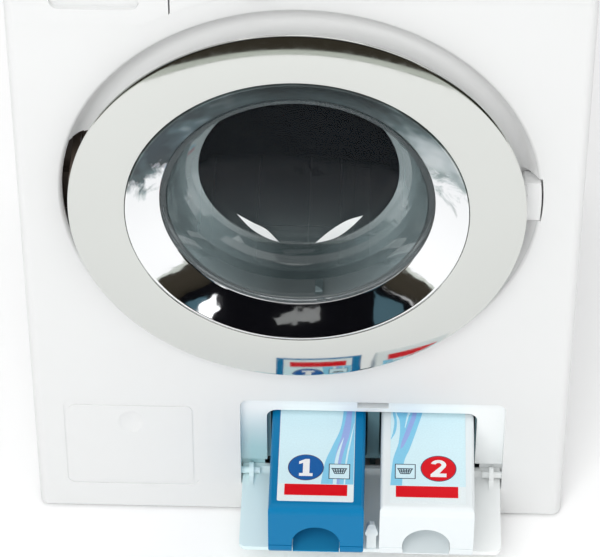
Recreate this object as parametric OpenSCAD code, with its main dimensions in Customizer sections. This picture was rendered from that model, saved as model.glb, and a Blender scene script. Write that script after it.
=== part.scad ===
// Toy washing machine, built as separate pieces.
// Inside the modules y is the distance behind the front panel's face; place() moves
// everything so that the origin is at the middle of the base of the whole toy.

/* [Cabinet] */
// Width of the cabinet
cab_w = 185; // [184:0.5:186]
// Depth of the cabinet behind the front face
cab_d = 180; // [178:1:184]
// Wall thickness of the casing
wall = 2.2; // [2:0.1:2.4]
// Thickness of the front panel
front_t = 2.4; // [2.2:0.1:2.6]
// Radius of the cabinet's vertical edges
edge_r = 3; // [2:0.5:4]

/* [Door] */
// Outer radius of the chromed ring
ring_r = 74.5; // [74:0.1:75]
// Radius of the chromed ring's inner edge
ring_ri = 55.8; // [55.6:0.1:56.4]
// Radius of the round recess in the front panel
recess_r = 79.2; // [79:0.1:79.6]
// Radius of the window bowl where it leaves the funnel
bowl_r = 44.6; // [44.4:0.1:44.65]

/* [Washing unit] */
// Inner radius of the drum
drum_r = 57; // [56:0.5:57.5]
// Depth of the drum
drum_d = 84; // [70:1:84]
// Number of narrow ribs round the drum
drum_ribs = 21; // [12:3:24]
// Teeth on the drum gear
drum_teeth = 48; // [48:1:48]
// Teeth on the small idler gear
idler_teeth = 12; // [12:1:12]

/* [Dispenser] */
// Length of a cartridge
cart_l = 80; // [70:1:80]
// How far a cartridge stands out of the front
cart_out = 41.2; // [38:0.2:41.2]
// Length of the flap from its hinge to its free edge
flap_l = 34.8; // [34:0.2:34.8]

/* [Controls] */
// Radius of the selector knob
knob_r = 8.2; // [7.4:0.2:8.6]
// Radius of a push button
button_r = 3.2; // [2.8:0.1:3.4]

/* [Hidden] */
$fn = 96;
hw = cab_w / 2;            // half the cabinet's width
iw = hw - wall;            // inner half width
mid_y = 69.4;              // middle of the whole toy behind the front face
cab_top = 256;             // top of the casing, under the lid
rcx = -0.1; rcz = 149.8;   // centre of the round recess
dx = -0.8; dz = 149.8;     // centre of the door, the tub and the drum
drx = -30; drz = 100.2;    // drain
lug_r = 67.2;              // radius of the screws that hold the washing unit
pvx = -83.5; pvy = 6;      // door hinge axis
fly = 3.4; flz = 17;       // flap hinge axis
flx0 = -20.3; flx1 = 70.5; // flap sides
white = [0.95, 0.955, 0.96];
chrome = [0.86, 0.87, 0.88];
dark = [0.16, 0.17, 0.2];
blue = [0.12, 0.5, 0.76];

module place() translate([0, -mid_y, 0]) children();
// cylinder along y from y0 to y1
module ycyl(x, z, y0, y1, r) translate([x, y0, z]) rotate([-90, 0, 0]) cylinder(r = r, h = y1 - y0);
module xcyl(y, z, x0, x1, r) translate([x0, y, z]) rotate([0, 90, 0]) cylinder(r = r, h = x1 - x0);
module zcyl(x, y, z0, z1, r) translate([x, y, z0]) cylinder(r = r, h = z1 - z0);
// ring along y
module yring(x, z, y0, y1, ri, ro) yrev(x, z, [[ri, y0], [ro, y0], [ro, y1], [ri, y1]]);
// profile points are [radius, y]
module yrev(x, z, pts) translate([x, 0, z]) rotate([-90, 0, 0]) rotate_extrude() polygon(pts);
// outline drawn in x and z, thickness along y
module ypl(y0, y1) translate([0, y1, 0]) rotate([90, 0, 0]) linear_extrude(y1 - y0) children();
// outline drawn in y and z, thickness along x
module xpl(x0, x1) translate([x0, 0, 0]) rotate([90, 0, 90]) linear_extrude(x1 - x0) children();
module box(x0, x1, y0, y1, z0, z1) translate([x0, y0, z0]) cube([x1 - x0, y1 - y0, z1 - z0]);
// rectangle with round corners, exact
module rrect(x0, x1, z0, z1, r) {
  translate([x0 + r, z0]) square([x1 - x0 - 2 * r, z1 - z0]);
  translate([x0, z0 + r]) square([x1 - x0, z1 - z0 - 2 * r]);
  for (x = [x0 + r, x1 - r], z = [z0 + r, z1 - r]) translate([x, z]) circle(r);
}
function arc(cx, cy, r, a0, a1, n) = [for (i = [0:n]) let (a = a0 + (a1 - a0) * i / n) [cx + r * cos(a), cy + r * sin(a)]];

/* ---------- front ---------- */
// radius of the arc that the drawer and the control panel follow
arc_r = 86.2;
module below_controls(g) difference() {
  union() {
    translate([-hw - 1, 0.5]) square([cab_w + 2, 220.6 - g]);
    intersection() {
      translate([rcx, rcz]) circle(arc_r - g, $fn = 180);
      translate([-hw, 150]) square([cab_w, 83.1 - g]);
    }
    translate([-22.3, 150]) square([hw + 23.3, 83.1 - g]);
  }
  translate([-hw - 2, -2]) square([cab_w + 4, 3]);
}
// round recess: lip, sloping wall, blend and floor
lip_a = 55; lip_r = 1.6; blend_r = 7.5;
wall_r0 = recess_r - lip_r * sin(lip_a);
wall_y0 = lip_r * (1 - cos(lip_a));
wall_l = 2.0;
bl_r0 = wall_r0 - wall_l;
bl_y0 = wall_y0 + wall_l * tan(lip_a);
dish_front = concat(
  [for (i = [0:5]) let (a = lip_a * i / 5) [recess_r - lip_r * sin(a), lip_r * (1 - cos(a))]],
  [for (i = [0:7]) let (a = lip_a - (lip_a - 1) * i / 7) [bl_r0 - blend_r * (sin(lip_a) - sin(a)), bl_y0 + blend_r * (cos(a) - cos(lip_a))]],
  [[54, 6.9]]);
dish_back = [[54, 9.1], [70, 8.8], [74, 8.2], [77.4, 6.0], [79.6, front_t], [recess_r, front_t]];
pock_x0 = -20.8; pock_x1 = 71; pock_z0 = 13.2; pock_z1 = 55.5;
open_x0 = -11.7; open_x1 = 61.5; open_z0 = 20.5; open_z1 = 47.2;
// depth profile of the dispenser pocket, drawn in y and z
pocket_cut = concat([[-1, pock_z0], [-1, pock_z1], [0, pock_z1]],
  [for (i = [1:6]) let (a = 15 * i) [3.4 * sin(a), pock_z1 - 3.2 * (1 - cos(a))]],
  [[4.6, 36], [5.4, open_z0], [5.4, pock_z0]]);

module front_panel() color(white) place() difference() {
  union() {
    // plate and the two side returns
    intersection() {
      union() {
        box(-hw, hw, 0, front_t, 1, 234);
        box(-hw, -iw, 0, 9.2, 1, 234);
        box(iw, hw, 0, 9.2, 1, 234);
      }
      translate([0, 0, 0]) linear_extrude(240) union() {
        translate([-hw + edge_r, 0]) square([cab_w - 2 * edge_r, 12]);
        translate([-hw, edge_r]) square([cab_w, 12 - edge_r]);
        for (s = [-1, 1]) translate([s * (hw - edge_r), edge_r]) circle(edge_r);
      }
      ypl(-1, 12) below_controls(0);
    }
    // solid ring that the round recess is cut from
    yrev(rcx, rcz, concat([[54, 0.5], [81.3, 0.5], [81.3, front_t]], [[79.6, front_t], [77.4, 6.0], [74, 8.2], [70, 8.8], [54, 9.1]]));
    // box behind the grip tab
    box(64, 81.5, 0.5, 8.8, 139.9, 161.6);
    // walls of the dispenser pocket
    box(pock_x0 - 1.6, pock_x1 + 1.6, 1, 7.0, 11.6, pock_z1 + 1.5);
    // strips behind the flap's lugs
    box(pock_x0 - 1.6, -12.6, 6.9, 8.1, 11.6, 21.6);
    box(63.2, pock_x1 + 1.6, 6.9, 8.1, 11.6, 21.6);
    // posts for the washing unit
    for (a = [45, 135, 225, 315]) ycyl(dx + lug_r * cos(a), dz + lug_r * sin(a), 7, 9.05, 2.4);
  }
  // recess
  yrev(rcx, rcz, concat([[0, -1], [recess_r, -1]], dish_front, [[0, 6.9]]));
  // opening to the drum
  ycyl(dx, dz, -1, 12, 60);
  // slot for the hinge arms
  intersection() { ycyl(rcx, rcz, -2, 12, 77.6); box(-79, -56, -2, 12, 128, 172); }
  box(-82.5, -70, front_t, 12, 127.5, 172.5);
  // pocket for the grip tab
  intersection() { ycyl(rcx, rcz, -2, 7.0, 79.25); box(58, 82, -2, 7.0, 141.5, 160); }
  // dispenser pocket
  intersection() {
    xpl(pock_x0, pock_x1) polygon(pocket_cut);
    ypl(-2, 8) rrect(pock_x0, pock_x1, pock_z0, pock_z1, 3);
  }
  box(pock_x0, pock_x1, 3, 7.0, pock_z0, open_z0);
  box(pock_x0, pock_x1, -2, 7.0, pock_z0, 18);
  ypl(2, 9) rrect(open_x0, open_x1, open_z0 - 6, open_z1, 3.6);
  // slot for the flap's latch post
  box(19.8, 30.6, 1, 9, 49, 52.6);
  // pin holes of the flap
  xcyl(fly, flz, pock_x0 - 2.5, pock_x0 + 1, 1.31);
  xcyl(fly, flz, pock_x1 - 1, pock_x1 + 2.5, 1.31);
  // screw holes of the washing unit
  for (a = [45, 135, 225, 315]) ycyl(dx + lug_r * cos(a), dz + lug_r * sin(a), 7.2, 9.5, 1.05);
  // moulded outline of the service flap
  ypl(-1, 0.35) difference() { rrect(-82.0, -35.6, 12.2, 54.2, 3.2); rrect(-80.2, -37.5, 13.9, 51.4, 2.2); }
  // finger dimple of the service flap
  translate([-58.8, -12, 43.9]) rotate([5, 0, 0]) scale([1, 1, 1.17]) sphere(r = 12.9);
}

module control_panel() color(white) place() difference() {
  union() {
    intersection() {
      union() {
        box(-hw, hw, -0.6, front_t, 224, cab_top - 0.1);
        box(-hw, -iw, 2.9, 9.2, 221.4, cab_top - 0.1);
        box(-hw, -iw, 0, 4, 252.9, cab_top - 0.1);
        box(iw, hw, 0, 9.2, 224, cab_top - 0.1);
      }
      translate([0, 0, 200]) linear_extrude(80) union() {
        translate([-hw + edge_r, -0.6]) square([cab_w - 2 * edge_r, 12]);
        translate([-hw, edge_r - 0.6]) square([cab_w, 12 - edge_r]);
        for (s = [-1, 1]) translate([s * (hw - edge_r), edge_r - 0.6]) circle(edge_r);
      }
    }
    // ledge that the drawer housing hooks on to
    box(-40.2, -38.6, 2, 6, 236, 250);
    // frame behind the display
    ypl(2, 3.2) rrect(5.5, 50.5, 235.5, 253.5, 1);
  }
  difference() { ypl(-2, 12) below_controls(-0.3); box(-hw - 1, -40.3, 2.8, 13, 200, 260); }
  box(-hw - 1, -40.4, -2, 2.8, 200, 252.8);
  ycyl(-14, knob_z, -2, 5, 3.1);
  // display: a step for the window and an opening behind it
  ypl(-2, 1.5) rrect(8, 48, 238, 251, 1);
  ypl(-2, 5) rrect(10, 46, 240, 249, 0.6);
  for (x = [60, 71, 82]) ycyl(x, 244.5, -2, 5, button_r + 0.3);
}

module cabinet_shell() color(white) place() difference() {
  union() {
    difference() {
      translate([0, 0, 1]) linear_extrude(cab_top - 1) union() {
        translate([-hw, 9.3]) square([cab_w, cab_d - 9.3 - edge_r]);
        translate([-hw + edge_r, 100]) square([cab_w - 2 * edge_r, cab_d - 100]);
        for (s = [-1, 1]) translate([s * (hw - edge_r), cab_d - edge_r]) circle(edge_r);
      }
      box(-iw, iw, 5, 176.6, 0, cab_top - wall);
    }
    // bosses for the base screws
    for (s = [-1, 1], y = [30, 150]) {
      zcyl(s * 85, y, 3.5, 20, 3.4);
      box(min(s * 85, s * iw), max(s * 85, s * iw), y - 2, y + 2, 3.5, 20);
    }
    // bosses for the rear cover's screws
    for (s = [-1, 1], z = [30, 129, 228]) ycyl(s * 80, z, 168, 177.5, 3.2);
    // shelf under the drawer housing
    box(-iw - 0.1, -70, 20, 60, 223.4, 225.6);
  }
  // rear opening with a step for the cover
  ypl(177, 182) rrect(-83, 83, 9, 249, 4);
  ypl(170, 182) rrect(-76, 76, 16, 242, 4);
  for (s = [-1, 1], z = [30, 129, 228]) ycyl(s * 80, z, 166, 182, 1.22);
  for (s = [-1, 1], y = [30, 150]) zcyl(s * 85, y, 2, 21, 1.07);
  // rear wall stays open behind the step
  ypl(177.9, 182) rrect(-83, 83, 9, 249, 4);
  // holes for the lid's pegs
  for (s = [-1, 1], y = [25, 165]) zcyl(s * 82, y, 250, 258, 2.1);
}

module top_lid() color(white) place() {
  translate([0, 0, cab_top]) linear_extrude(3) union() {
    translate([-93.2 + 5, -0.6]) square([186.4 - 10, cab_d + 0.4]);
    translate([-93.2, 4.4]) square([186.4, cab_d - 9.6]);
    for (s = [-1, 1], y = [4.4, cab_d - 5.2]) translate([s * 88.2, y]) circle(5);
  }
  translate([0, 0, cab_top + 2.9]) linear_extrude(1.1) union() {
    translate([-92.4 + 5, 0.2]) square([184.8 - 10, cab_d - 1.2]);
    translate([-92.4, 5.2]) square([184.8, cab_d - 11.2]);
    for (s = [-1, 1], y = [5.2, cab_d - 6]) translate([s * 87.4, y]) circle(5);
  }
  for (s = [-1, 1], y = [25, 165]) zcyl(s * 82, y, 253.9, cab_top + 1, 2);
}

module rear_cover() color(white) place() difference() {
  union() {
    ypl(178, 179.9) rrect(-82.7, 82.7, 9.3, 248.7, 3.8);
    // inner rim that centres the cover
    ypl(175, 178.1) difference() { rrect(-75.7, 75.7, 16.3, 241.7, 3.8); rrect(-74.2, 74.2, 17.8, 240.2, 2.4); }
    // speaker ring
    yring(45, 60, 172, 178.1, 18.6, 20.4);
  }
  for (s = [-1, 1], z = [30, 129, 228]) {
    ycyl(s * 80, z, 170, 182, 1.35);
    ycyl(s * 80, z, 179, 182, 2.6);
  }
  // air slots
  for (i = [0:7]) ypl(170, 182) rrect(-30, 30, 186 + 5 * i, 188.4 + 5 * i, 1);
  // sound holes
  for (a = [0:60:300]) ycyl(45 + 5 * cos(a), 60 + 5 * sin(a), 170, 182, 1.2);
  for (a = [0:30:330]) ycyl(45 + 10 * cos(a), 60 + 10 * sin(a), 170, 182, 1.2);
  ycyl(45, 60, 170, 182, 1.2);
  // finger room round the drain cap
  ycyl(drx, drz, 170, 182, 9.5);
}

module base_plate() color(white) place() difference() {
  union() {
    box(-iw + 0.2, iw - 0.2, 2.7, 176.2, 1.2, 3.4);
    // lip round the battery opening
    difference() { box(-84.6, -23.4, 65.4, 130.6, 3.3, 4.6); box(-82.4, -25.6, 67.6, 128.4, 3, 5); }
  }
  // battery opening
  box(-81.5, -26.5, 68, 128, 0, 6);
  // notch for the battery door's tab, screw holes and foot holes
  box(-60.3, -47.7, 66.6, 68.1, 2.3, 3.5);
  for (s = [-1, 1], y = [30, 150]) { zcyl(s * 85, y, 0, 5, 1.35); zcyl(s * 85, y, 0, 2.2, 2.6); }
  for (s = [-1, 1], y = [15, 165]) zcyl(s * 78, y, 0, 5, 2.6);
}

module feet() color([0.3, 0.31, 0.33]) place()
  for (s = [-1, 1], y = [15, 165]) { zcyl(s * 78, y, 0, 1.2, 7); zcyl(s * 78, y, 1.1, 4.2, 2.5); }

module case_screws() color("silver") place() {
  for (s = [-1, 1], z = [30, 129, 228]) difference() {
    union() { ycyl(s * 80, z, 179, 179.8, 2.3); ycyl(s * 80, z, 169, 179.1, 1.2); }
    cross_y(s * 80, z, 179.4);
  }
  for (s = [-1, 1], y = [30, 150]) difference() {
    union() { zcyl(s * 85, y, 1.3, 2.2, 2.3); zcyl(s * 85, y, 2.1, 14, 1.05); }
    translate([s * 85 - 1.5, y - 0.25, 1]) cube([3, 0.5, 0.7]);
    translate([s * 85 - 0.25, y - 1.5, 1]) cube([0.5, 3, 0.7]);
  }
}
module cross_y(x, z, y) { box(x - 1.5, x + 1.5, y, y + 3, z - 0.25, z + 0.25); box(x - 0.25, x + 0.25, y, y + 3, z - 1.5, z + 1.5); }

/* ---------- door ---------- */
// face of the ring: slightly domed, standing 7 to 9 mm in front of the panel
function crown(r) = -8.85 + pow(r - 59.94, 2) / 159.5;
module door_ring() color(chrome) place() yrev(dx, dz, concat(
  [[ring_ri + 0.15, -6.5], [62, -6.5], [62.5, -6.8], [ring_r - 0.5, -6.8], [ring_r, -7.1], [ring_r - 0.15, crown(ring_r - 0.3)]],
  [for (r = [73, 71, 69, 67, 65, 63, 61, 59, 57.4]) [r, crown(r)]],
  [[ring_ri + 0.6, crown(ring_ri + 0.6)], [ring_ri + 0.15, crown(ring_ri) + 0.3]]));
module window_cone() color(chrome) place() yrev(dx, dz,
  [[44.7, -1.0], [45.7, -1.0], [45.9, -1.9], [54.3, -6.7], [ring_ri + 0.05, -7.0], [ring_ri + 0.05, -8.4],
    [ring_ri - 0.35, -8.8], [45.2, -2.95], [44.7, -2.6]]);

module door_frame() color(white) place() difference() {
  union() {
    difference() {
      yrev(dx, dz, [[50.2, -3.0], [54.6, -5.4], [56.4, -6.4], [62.2, -6.4], [62.8, -6.7], [72.9, -6.7], [72.2, -5.7],
        [66, -4.4], [62.5, -3.8], [60.4, -2.4], [59.2, 0], [59.2, 8.0], [50.2, 8.0]]);
      // hollow between the two rims
      yrev(dx, dz, [[52, -2.6], [54.6, -3.6], [57.2, -3.6], [57.2, 8.1], [52, 8.1]]);
    }
    // screw posts
    for (a = [45, 135, 225, 315]) ycyl(dx + 54.6 * cos(a), dz + 54.6 * sin(a), -3.8, 8, 2.9);
    // grip tab and its web
    intersection() {
      union() {
        ypl(-0.5, 5.4) rrect(72.1, 84, 142.7, 158.8, 1.2);
        box(64, 73.6, -5.4, 3.2, 143.5, 158);
      }
      ycyl(rcx, rcz, -7, 6, 78.65);
    }
    // hinge arms
    for (z = [137.4, 152.6]) hinge_arm(z, z + 9.6);
  }
  for (z = [137.4, 152.6]) zcyl(pvx, pvy, z - 1, z + 10.6, 1.56);
  for (a = [45, 135, 225, 315]) ycyl(dx + 54.6 * cos(a), dz + 54.6 * sin(a), 2, 9, 1.02);
}
// goose-neck arm: knuckle, down, across, up and foot, in plan
module hinge_arm(z0, z1) translate([pvx, pvy, z0]) linear_extrude(z1 - z0) union() {
  circle(3.2);
  translate([-1.5, 0]) square([3, 9]);
  translate([-1.8, 7.5]) square([13.3, 2.5]);
  translate([9, -11.2]) square([2.5, 21.2]);
  translate([9, -12.3]) square([9.5, 2.6]);
}

module window_bowl() color([0.8, 0.87, 0.9, 0.35]) place()
  yrev(dx, dz, concat([[0, 16.65], [20, 16.35], [31.8, 15.75], [37.2, 15.05]], arc(37.7, 11.15, 3.9, 80, 8, 5),
    [[bowl_r - 0.2, 0.65], [49.8, 0.65], [49.8, -0.95], [bowl_r, -0.95], [bowl_r, -2.45], [bowl_r - 1.9, -2.45]],
    [[39.7, 10.85]], arc(36.7, 10.45, 2.9, 8, 80, 4), [[31.8, 13.75], [20, 14.35], [0, 14.65]]));
module window_clamp() color(white) place() difference() {
  union() {
    yring(dx, dz, 8.1, 9.7, 45.6, 58.8);
    yring(dx, dz, 0.7, 8.15, 45.6, 49.9);
  }
  for (a = [45, 135, 225, 315]) ycyl(dx + 54.6 * cos(a), dz + 54.6 * sin(a), 8, 11, 1.1);
}
module door_screws() color("silver") place()
  for (a = [45, 135, 225, 315]) {
    ycyl(dx + 54.6 * cos(a), dz + 54.6 * sin(a), 9.7, 10.1, 2);
    ycyl(dx + 54.6 * cos(a), dz + 54.6 * sin(a), 2.4, 9.8, 1);
  }
module hinge_bracket() color([0.36, 0.31, 0.28]) place() difference() {
  union() {
    box(-90.2, -88.6, 2.6, 19, 127.8, 172.2);
    // back of the hinge pocket
    box(-89, -68.4, 17.4, 19, 127.8, 172.2);
    for (p = [[133.4, 137.1], [147.3, 152.3], [162.5, 166.2]]) {
      zcyl(pvx, pvy, p[0], p[1], 3.2);
      box(-89, pvx, 2.8, 9.2, p[0], p[1]);
    }
  }
  zcyl(pvx, pvy, 120, 180, 1.5);
}
module door_hinge_pin() color("silver") place() zcyl(pvx, pvy, 128.4, 171.6, 1.49);

/* ---------- washing unit ---------- */
module door_seal() color([0.42, 0.44, 0.47]) place()
  yrev(dx, dz, [[51.4, 10.3], [58.6, 10.3], [58.8, 13.18], [50.8, 13.18], [50.6, 12]]);
module tub() color([0.78, 0.8, 0.82]) place() difference() {
  union() {
    yring(dx, dz, 9.1, 11.1, 61.5, 66);
    yring(dx, dz, 9.1, 112, 62, 64);
    yring(dx, dz, 13.2, 15.2, 50.6, 63);
    yring(dx, dz, 110, 112, 4, 63);
    yring(dx, dz, 104, 114, 4, 10);
    for (a = [45, 135, 225, 315]) ycyl(dx + lug_r * cos(a), dz + lug_r * sin(a), 9.1, 11.1, 3.6);
    // stiffening rings
    for (y = [40, 75]) yring(dx, dz, y, y + 1.6, 63, 65.2);
    // boss for the idler axle and posts for the circuit board
    ycyl(idx, idz, 111, 116, 3.4);
    for (p = [[-36, 187.5], [34, 187.5], [-28, 204.5], [26, 204.5]]) ycyl(p[0], p[1], 111, 120, 2.6, $fn = 20);
    // drain nipple
    ycyl(drx, drz, 111, 118, 3.9);
  }
  ycyl(dx, dz, 100, 118, 5);
  ycyl(idx, idz, 112.5, 118, 1.5);
  for (a = [45, 135, 225, 315]) ycyl(dx + lug_r * cos(a), dz + lug_r * sin(a), 8, 12, 1.15);
  for (p = [[-36, 187.5], [34, 187.5], [-28, 204.5], [26, 204.5]]) ycyl(p[0], p[1], 114, 122, 1, $fn = 12);
  ycyl(drx, drz, 105, 120, 2.5);
}
module tub_screws() color("silver") place() {
  for (a = [45, 135, 225, 315]) {
    ycyl(dx + lug_r * cos(a), dz + lug_r * sin(a), 11.15, 12.1, 2);
    ycyl(dx + lug_r * cos(a), dz + lug_r * sin(a), 7.3, 11.2, 1);
  }
  for (p = [[-36, 187.5], [34, 187.5], [-28, 204.5], [26, 204.5]]) {
    ycyl(p[0], p[1], 121.65, 122.6, 2, $fn = 20);
    ycyl(p[0], p[1], 115, 121.7, 0.93, $fn = 12);
  }
}
drum_y0 = 18; drum_y1 = drum_y0 + drum_d;
module drum() color([0.25, 0.3, 0.36]) place() difference() {
  union() {
    yring(dx, dz, drum_y0, drum_y1, drum_r, drum_r + 1.5);
    yring(dx, dz, drum_y0, drum_y0 + 1.6, 49, drum_r + 0.5);
    yring(dx, dz, drum_y1 - 2, drum_y1, 2, drum_r + 0.5);
    yring(dx, dz, drum_y1 - 7, drum_y1 + 1, 2, 8);
    // narrow ribs
    for (i = [0:drum_ribs - 1]) translate([dx, 0, dz]) rotate([0, -(-71 + 360 * i / drum_ribs), 0])
      translate([drum_r - 1.3, drum_y0 + 1, -0.6]) cube([2, drum_d - 2, 1.2]);
    // three lifters
    for (i = [0:2]) translate([dx, 0, dz]) rotate([0, -(-71 + 120 * i), 0]) xz_lifter();
  }
  ycyl(dx, dz, 80, 120, 3.0);
}
module xz_lifter() ypl(drum_y0 + 1, drum_y1 - 1)
  polygon([[drum_r + 0.5, -5.5], [drum_r - 3, -4.6], [drum_r - 8.2, -2.6], [drum_r - 9, -1.4], [drum_r - 9.2, 0],
    [drum_r - 9, 1.4], [drum_r - 8.2, 2.6], [drum_r - 3, 4.6], [drum_r + 0.5, 5.5]]);
module drum_shaft() color("silver") place() union() {
  ycyl(dx, dz, 95.5, 127, 2.995);
}
module drum_bush() color([0.72, 0.55, 0.25]) place() difference() {
  ycyl(dx, dz, 104, 114, 4.99);
  ycyl(dx, dz, 100, 120, 3.05);
}

// involute gear outline
function inv_half(rb, rp, r, h) = let (tp = sqrt(pow(rp / rb, 2) - 1), t = sqrt(pow(max(r, rb) / rb, 2) - 1))
  h + (tp * 180 / PI - atan(tp)) - (t * 180 / PI - atan(t));
module gear2d(m, z, slack, add, ded) {
  rp = m * z / 2; rb = rp * cos(20); ra = rp + add * m; rf = rp - ded * m;
  h = 90 / z - slack / rp * 180 / PI;
  rs = [for (i = [0:4]) max(rb, rf) + (ra - max(rb, rf)) * i / 4];
  root = inv_half(rb, rp, rs[0], h) * (rf < rb ? 0.92 : 1);
  polygon([for (k = [0:z - 1]) let (c = 360 * k / z) each concat(
    [[rf * cos(c - root), rf * sin(c - root)]],
    [for (r = rs) let (q = inv_half(rb, rp, r, h)) [r * cos(c - q), r * sin(c - q)]],
    [for (i = [4:-1:0]) let (r = rs[i], q = inv_half(rb, rp, r, h)) [r * cos(c + q), r * sin(c + q)]],
    [[rf * cos(c + root), rf * sin(c + root)]])]);
}
idx = dx + 18.75; idz = dz - 32.5; mpx = idx + 18.4; mpz = idz;
// direction from the drum's axis to the idler, and tooth phases in mesh
dir_i = atan2(idz - dz, idx - dx);
module drum_gear() color([0.9, 0.9, 0.86]) place() difference() {
  union() {
    translate([dx, 0, dz]) ypl(118, 124) rotate(dir_i) gear2d(1.25, drum_teeth, 0.12, 0.8, 1.15);
    ycyl(dx, dz, 114.5, 126, 7);
  }
  ycyl(dx, dz, 110, 130, 3.0);
  for (a = [0:60:300]) ycyl(dx + 17 * cos(a + 15), dz + 17 * sin(a + 15), 110, 130, 5);
}
module idler_gear() color([0.9, 0.9, 0.86]) place() difference() {
  union() {
    translate([idx, 0, idz]) ypl(117, 125.5) rotate(dir_i + 180 + 180 / idler_teeth) gear2d(1.25, idler_teeth, 0.12, 0.8, 1.1);
    translate([idx, 0, idz]) ypl(125.4, 129.6) gear2d(0.8, 36, 0.08, 0.8, 1.15);
    ycyl(idx, idz, 129, 130.4, 3.4);
  }
  ycyl(idx, idz, 110, 135, 1.56);
}
module idler_axle() color("silver") place() ycyl(idx, idz, 112.6, 132.8, 1.49);
module motor_pinion() color([0.9, 0.9, 0.86]) place() difference() {
  translate([mpx, 0, mpz]) ypl(125.2, 130) rotate(18) gear2d(0.8, 10, 0.08, 0.8, 1.05);
  ycyl(mpx, mpz, 120, 135, 1.0);
}
module motor_shaft() color("silver") place() ycyl(mpx, mpz, 124.8, 140, 0.99);
module motor() color([0.7, 0.71, 0.73]) place() difference() {
  union() {
    intersection() { ycyl(mpx, mpz, 133, 161, 12); box(mpx - 13, mpx + 13, 130, 165, mpz - 10, mpz + 10); }
    ycyl(mpx, mpz, 131, 133.5, 3);
    ycyl(mpx, mpz, 160.5, 163, 4);
    for (s = [-1, 1]) box(mpx + s * 7 - 1.2, mpx + s * 7 + 1.2, 160.5, 165.5, mpz - 0.3, mpz + 0.3);
  }
  ycyl(mpx, mpz, 130, 141, 1.05);
}
module motor_bracket() color([0.62, 0.64, 0.66]) place() difference() {
  union() {
    ypl(131, 132.9) rrect(-2, 54, mpz - 18.7, mpz + 18.3, 3);
    for (p = [[38, -14.2], [49, 13.8], [2, -15.2]]) ycyl(p[0], mpz + p[1], 112, 131.5, 3);
  }
  ycyl(mpx, mpz, 128, 134, 3.05);
  ycyl(idx, idz, 128, 134, 1.5);
}

/* ---------- drain ---------- */
module drain_pipe() color([0.55, 0.57, 0.6]) place() difference() {
  ycyl(drx, drz, 112.1, 172, 5.2);
  ycyl(drx, drz, 110, 175, 4);
}
module drain_spigot() color(white) place() difference() {
  union() { ycyl(drx, drz, 166, 176.5, 3.95); ycyl(drx, drz, 172.2, 174.6, 12.5); }
  ycyl(drx, drz, 160, 180, 2.6);
}
module drain_cap() color([0.3, 0.31, 0.33]) place() {
  ycyl(drx, drz, 168, 177, 2.54);
  ycyl(drx, drz, 176.7, 179.4, 6.5);
  box(drx - 1, drx + 1, 179, 179.9, drz - 4, drz + 4);
}

/* ---------- power and sound ---------- */
module battery_box() color(dark) place() difference() {
  box(-84, -24, 66, 130, 4.6, 21);
  for (i = [0:3]) union() {
    xcyl(75.4 + 15.1 * i, 12.2, -82.2, -25.8, 7.5);
    box(-82.2, -25.8, 67.9 + 15.1 * i, 82.9 + 15.1 * i, 2, 12.2);
  }
}
module batteries() color([0.75, 0.62, 0.3]) place()
  for (i = [0:3]) {
    s = i % 2;
    xcyl(75.4 + 15.1 * i, 12.2, s ? -79.2 : -80.2, s ? -29.7 : -30.7, 7.1);
    if (s) xcyl(75.4 + 15.1 * i, 12.2, -80.4, -79.1, 2.6); else xcyl(75.4 + 15.1 * i, 12.2, -30.8, -29.5, 2.6);
  }
module battery_contacts() color("silver") place()
  for (i = [0:3], s = [0, 1]) let (y = 75.4 + 15.1 * i)
    if (s) box(-82.15, -80.45, y - 3, y + 3, 7, 17); else box(-29.45, -25.85, y - 3, y + 3, 7, 17);
module battery_door() color(white) place() difference() {
  union() {
    ypl2(-81.2, -26.8, 68.3, 127.7, 1.2, 2.9, 2);
    box(-60, -48, 66.9, 69, 2.4, 3.3);
  }
  zcyl(-54, 124, 0, 5, 1.3);
  zcyl(-54, 124, 0, 2.0, 2.5);
}
module ypl2(x0, x1, y0, y1, z0, z1, r) translate([0, 0, z0]) linear_extrude(z1 - z0) rrect(x0, x1, y0, y1, r);
module battery_door_screw() color("silver") place() difference() {
  union() { zcyl(-54, 124, 1.25, 2.0, 2.2); zcyl(-54, 124, 1.9, 4.2, 1.1); }
  translate([-55.4, 123.75, 1]) cube([2.8, 0.5, 0.6]);
}
module circuit_board() color([0.15, 0.42, 0.25]) place() {
  difference() {
    ypl(120, 121.6) rrect(-42, 40, 182.5, 210.5, 1);
    for (p = [[-36, 187.5], [34, 187.5], [-28, 204.5], [26, 204.5]]) ycyl(p[0], p[1], 118, 124, 1.1, $fn = 20);
  }
  box(-12, 4, 121.5, 124, 191.5, 203.5);
  box(12, 20, 121.5, 127, 195.5, 203.5);
  for (x = [-20, -16]) ycyl(x, 191.5, 121.5, 129, 1.9);
  for (i = [0:3]) box(-34 + 7 * i, -30 + 7 * i, 121.5, 123, 206.5, 209.5);
}
module speaker() color(dark) place() {
  yring(45, 60, 175.4, 177.9, 15, 18.4);
  yrev(45, 60, [[0, 172.4], [5, 172.4], [15.2, 176.4], [15.2, 177.2], [5, 173.4], [0, 173.4]]);
  yrev(45, 60, [[0, 162], [11, 162], [11, 170], [17, 175.5], [15.1, 175.5], [9.4, 170], [9.4, 170.2], [0, 170.2]]);
  ycyl(45, 60, 170, 172.5, 5);
}
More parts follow.
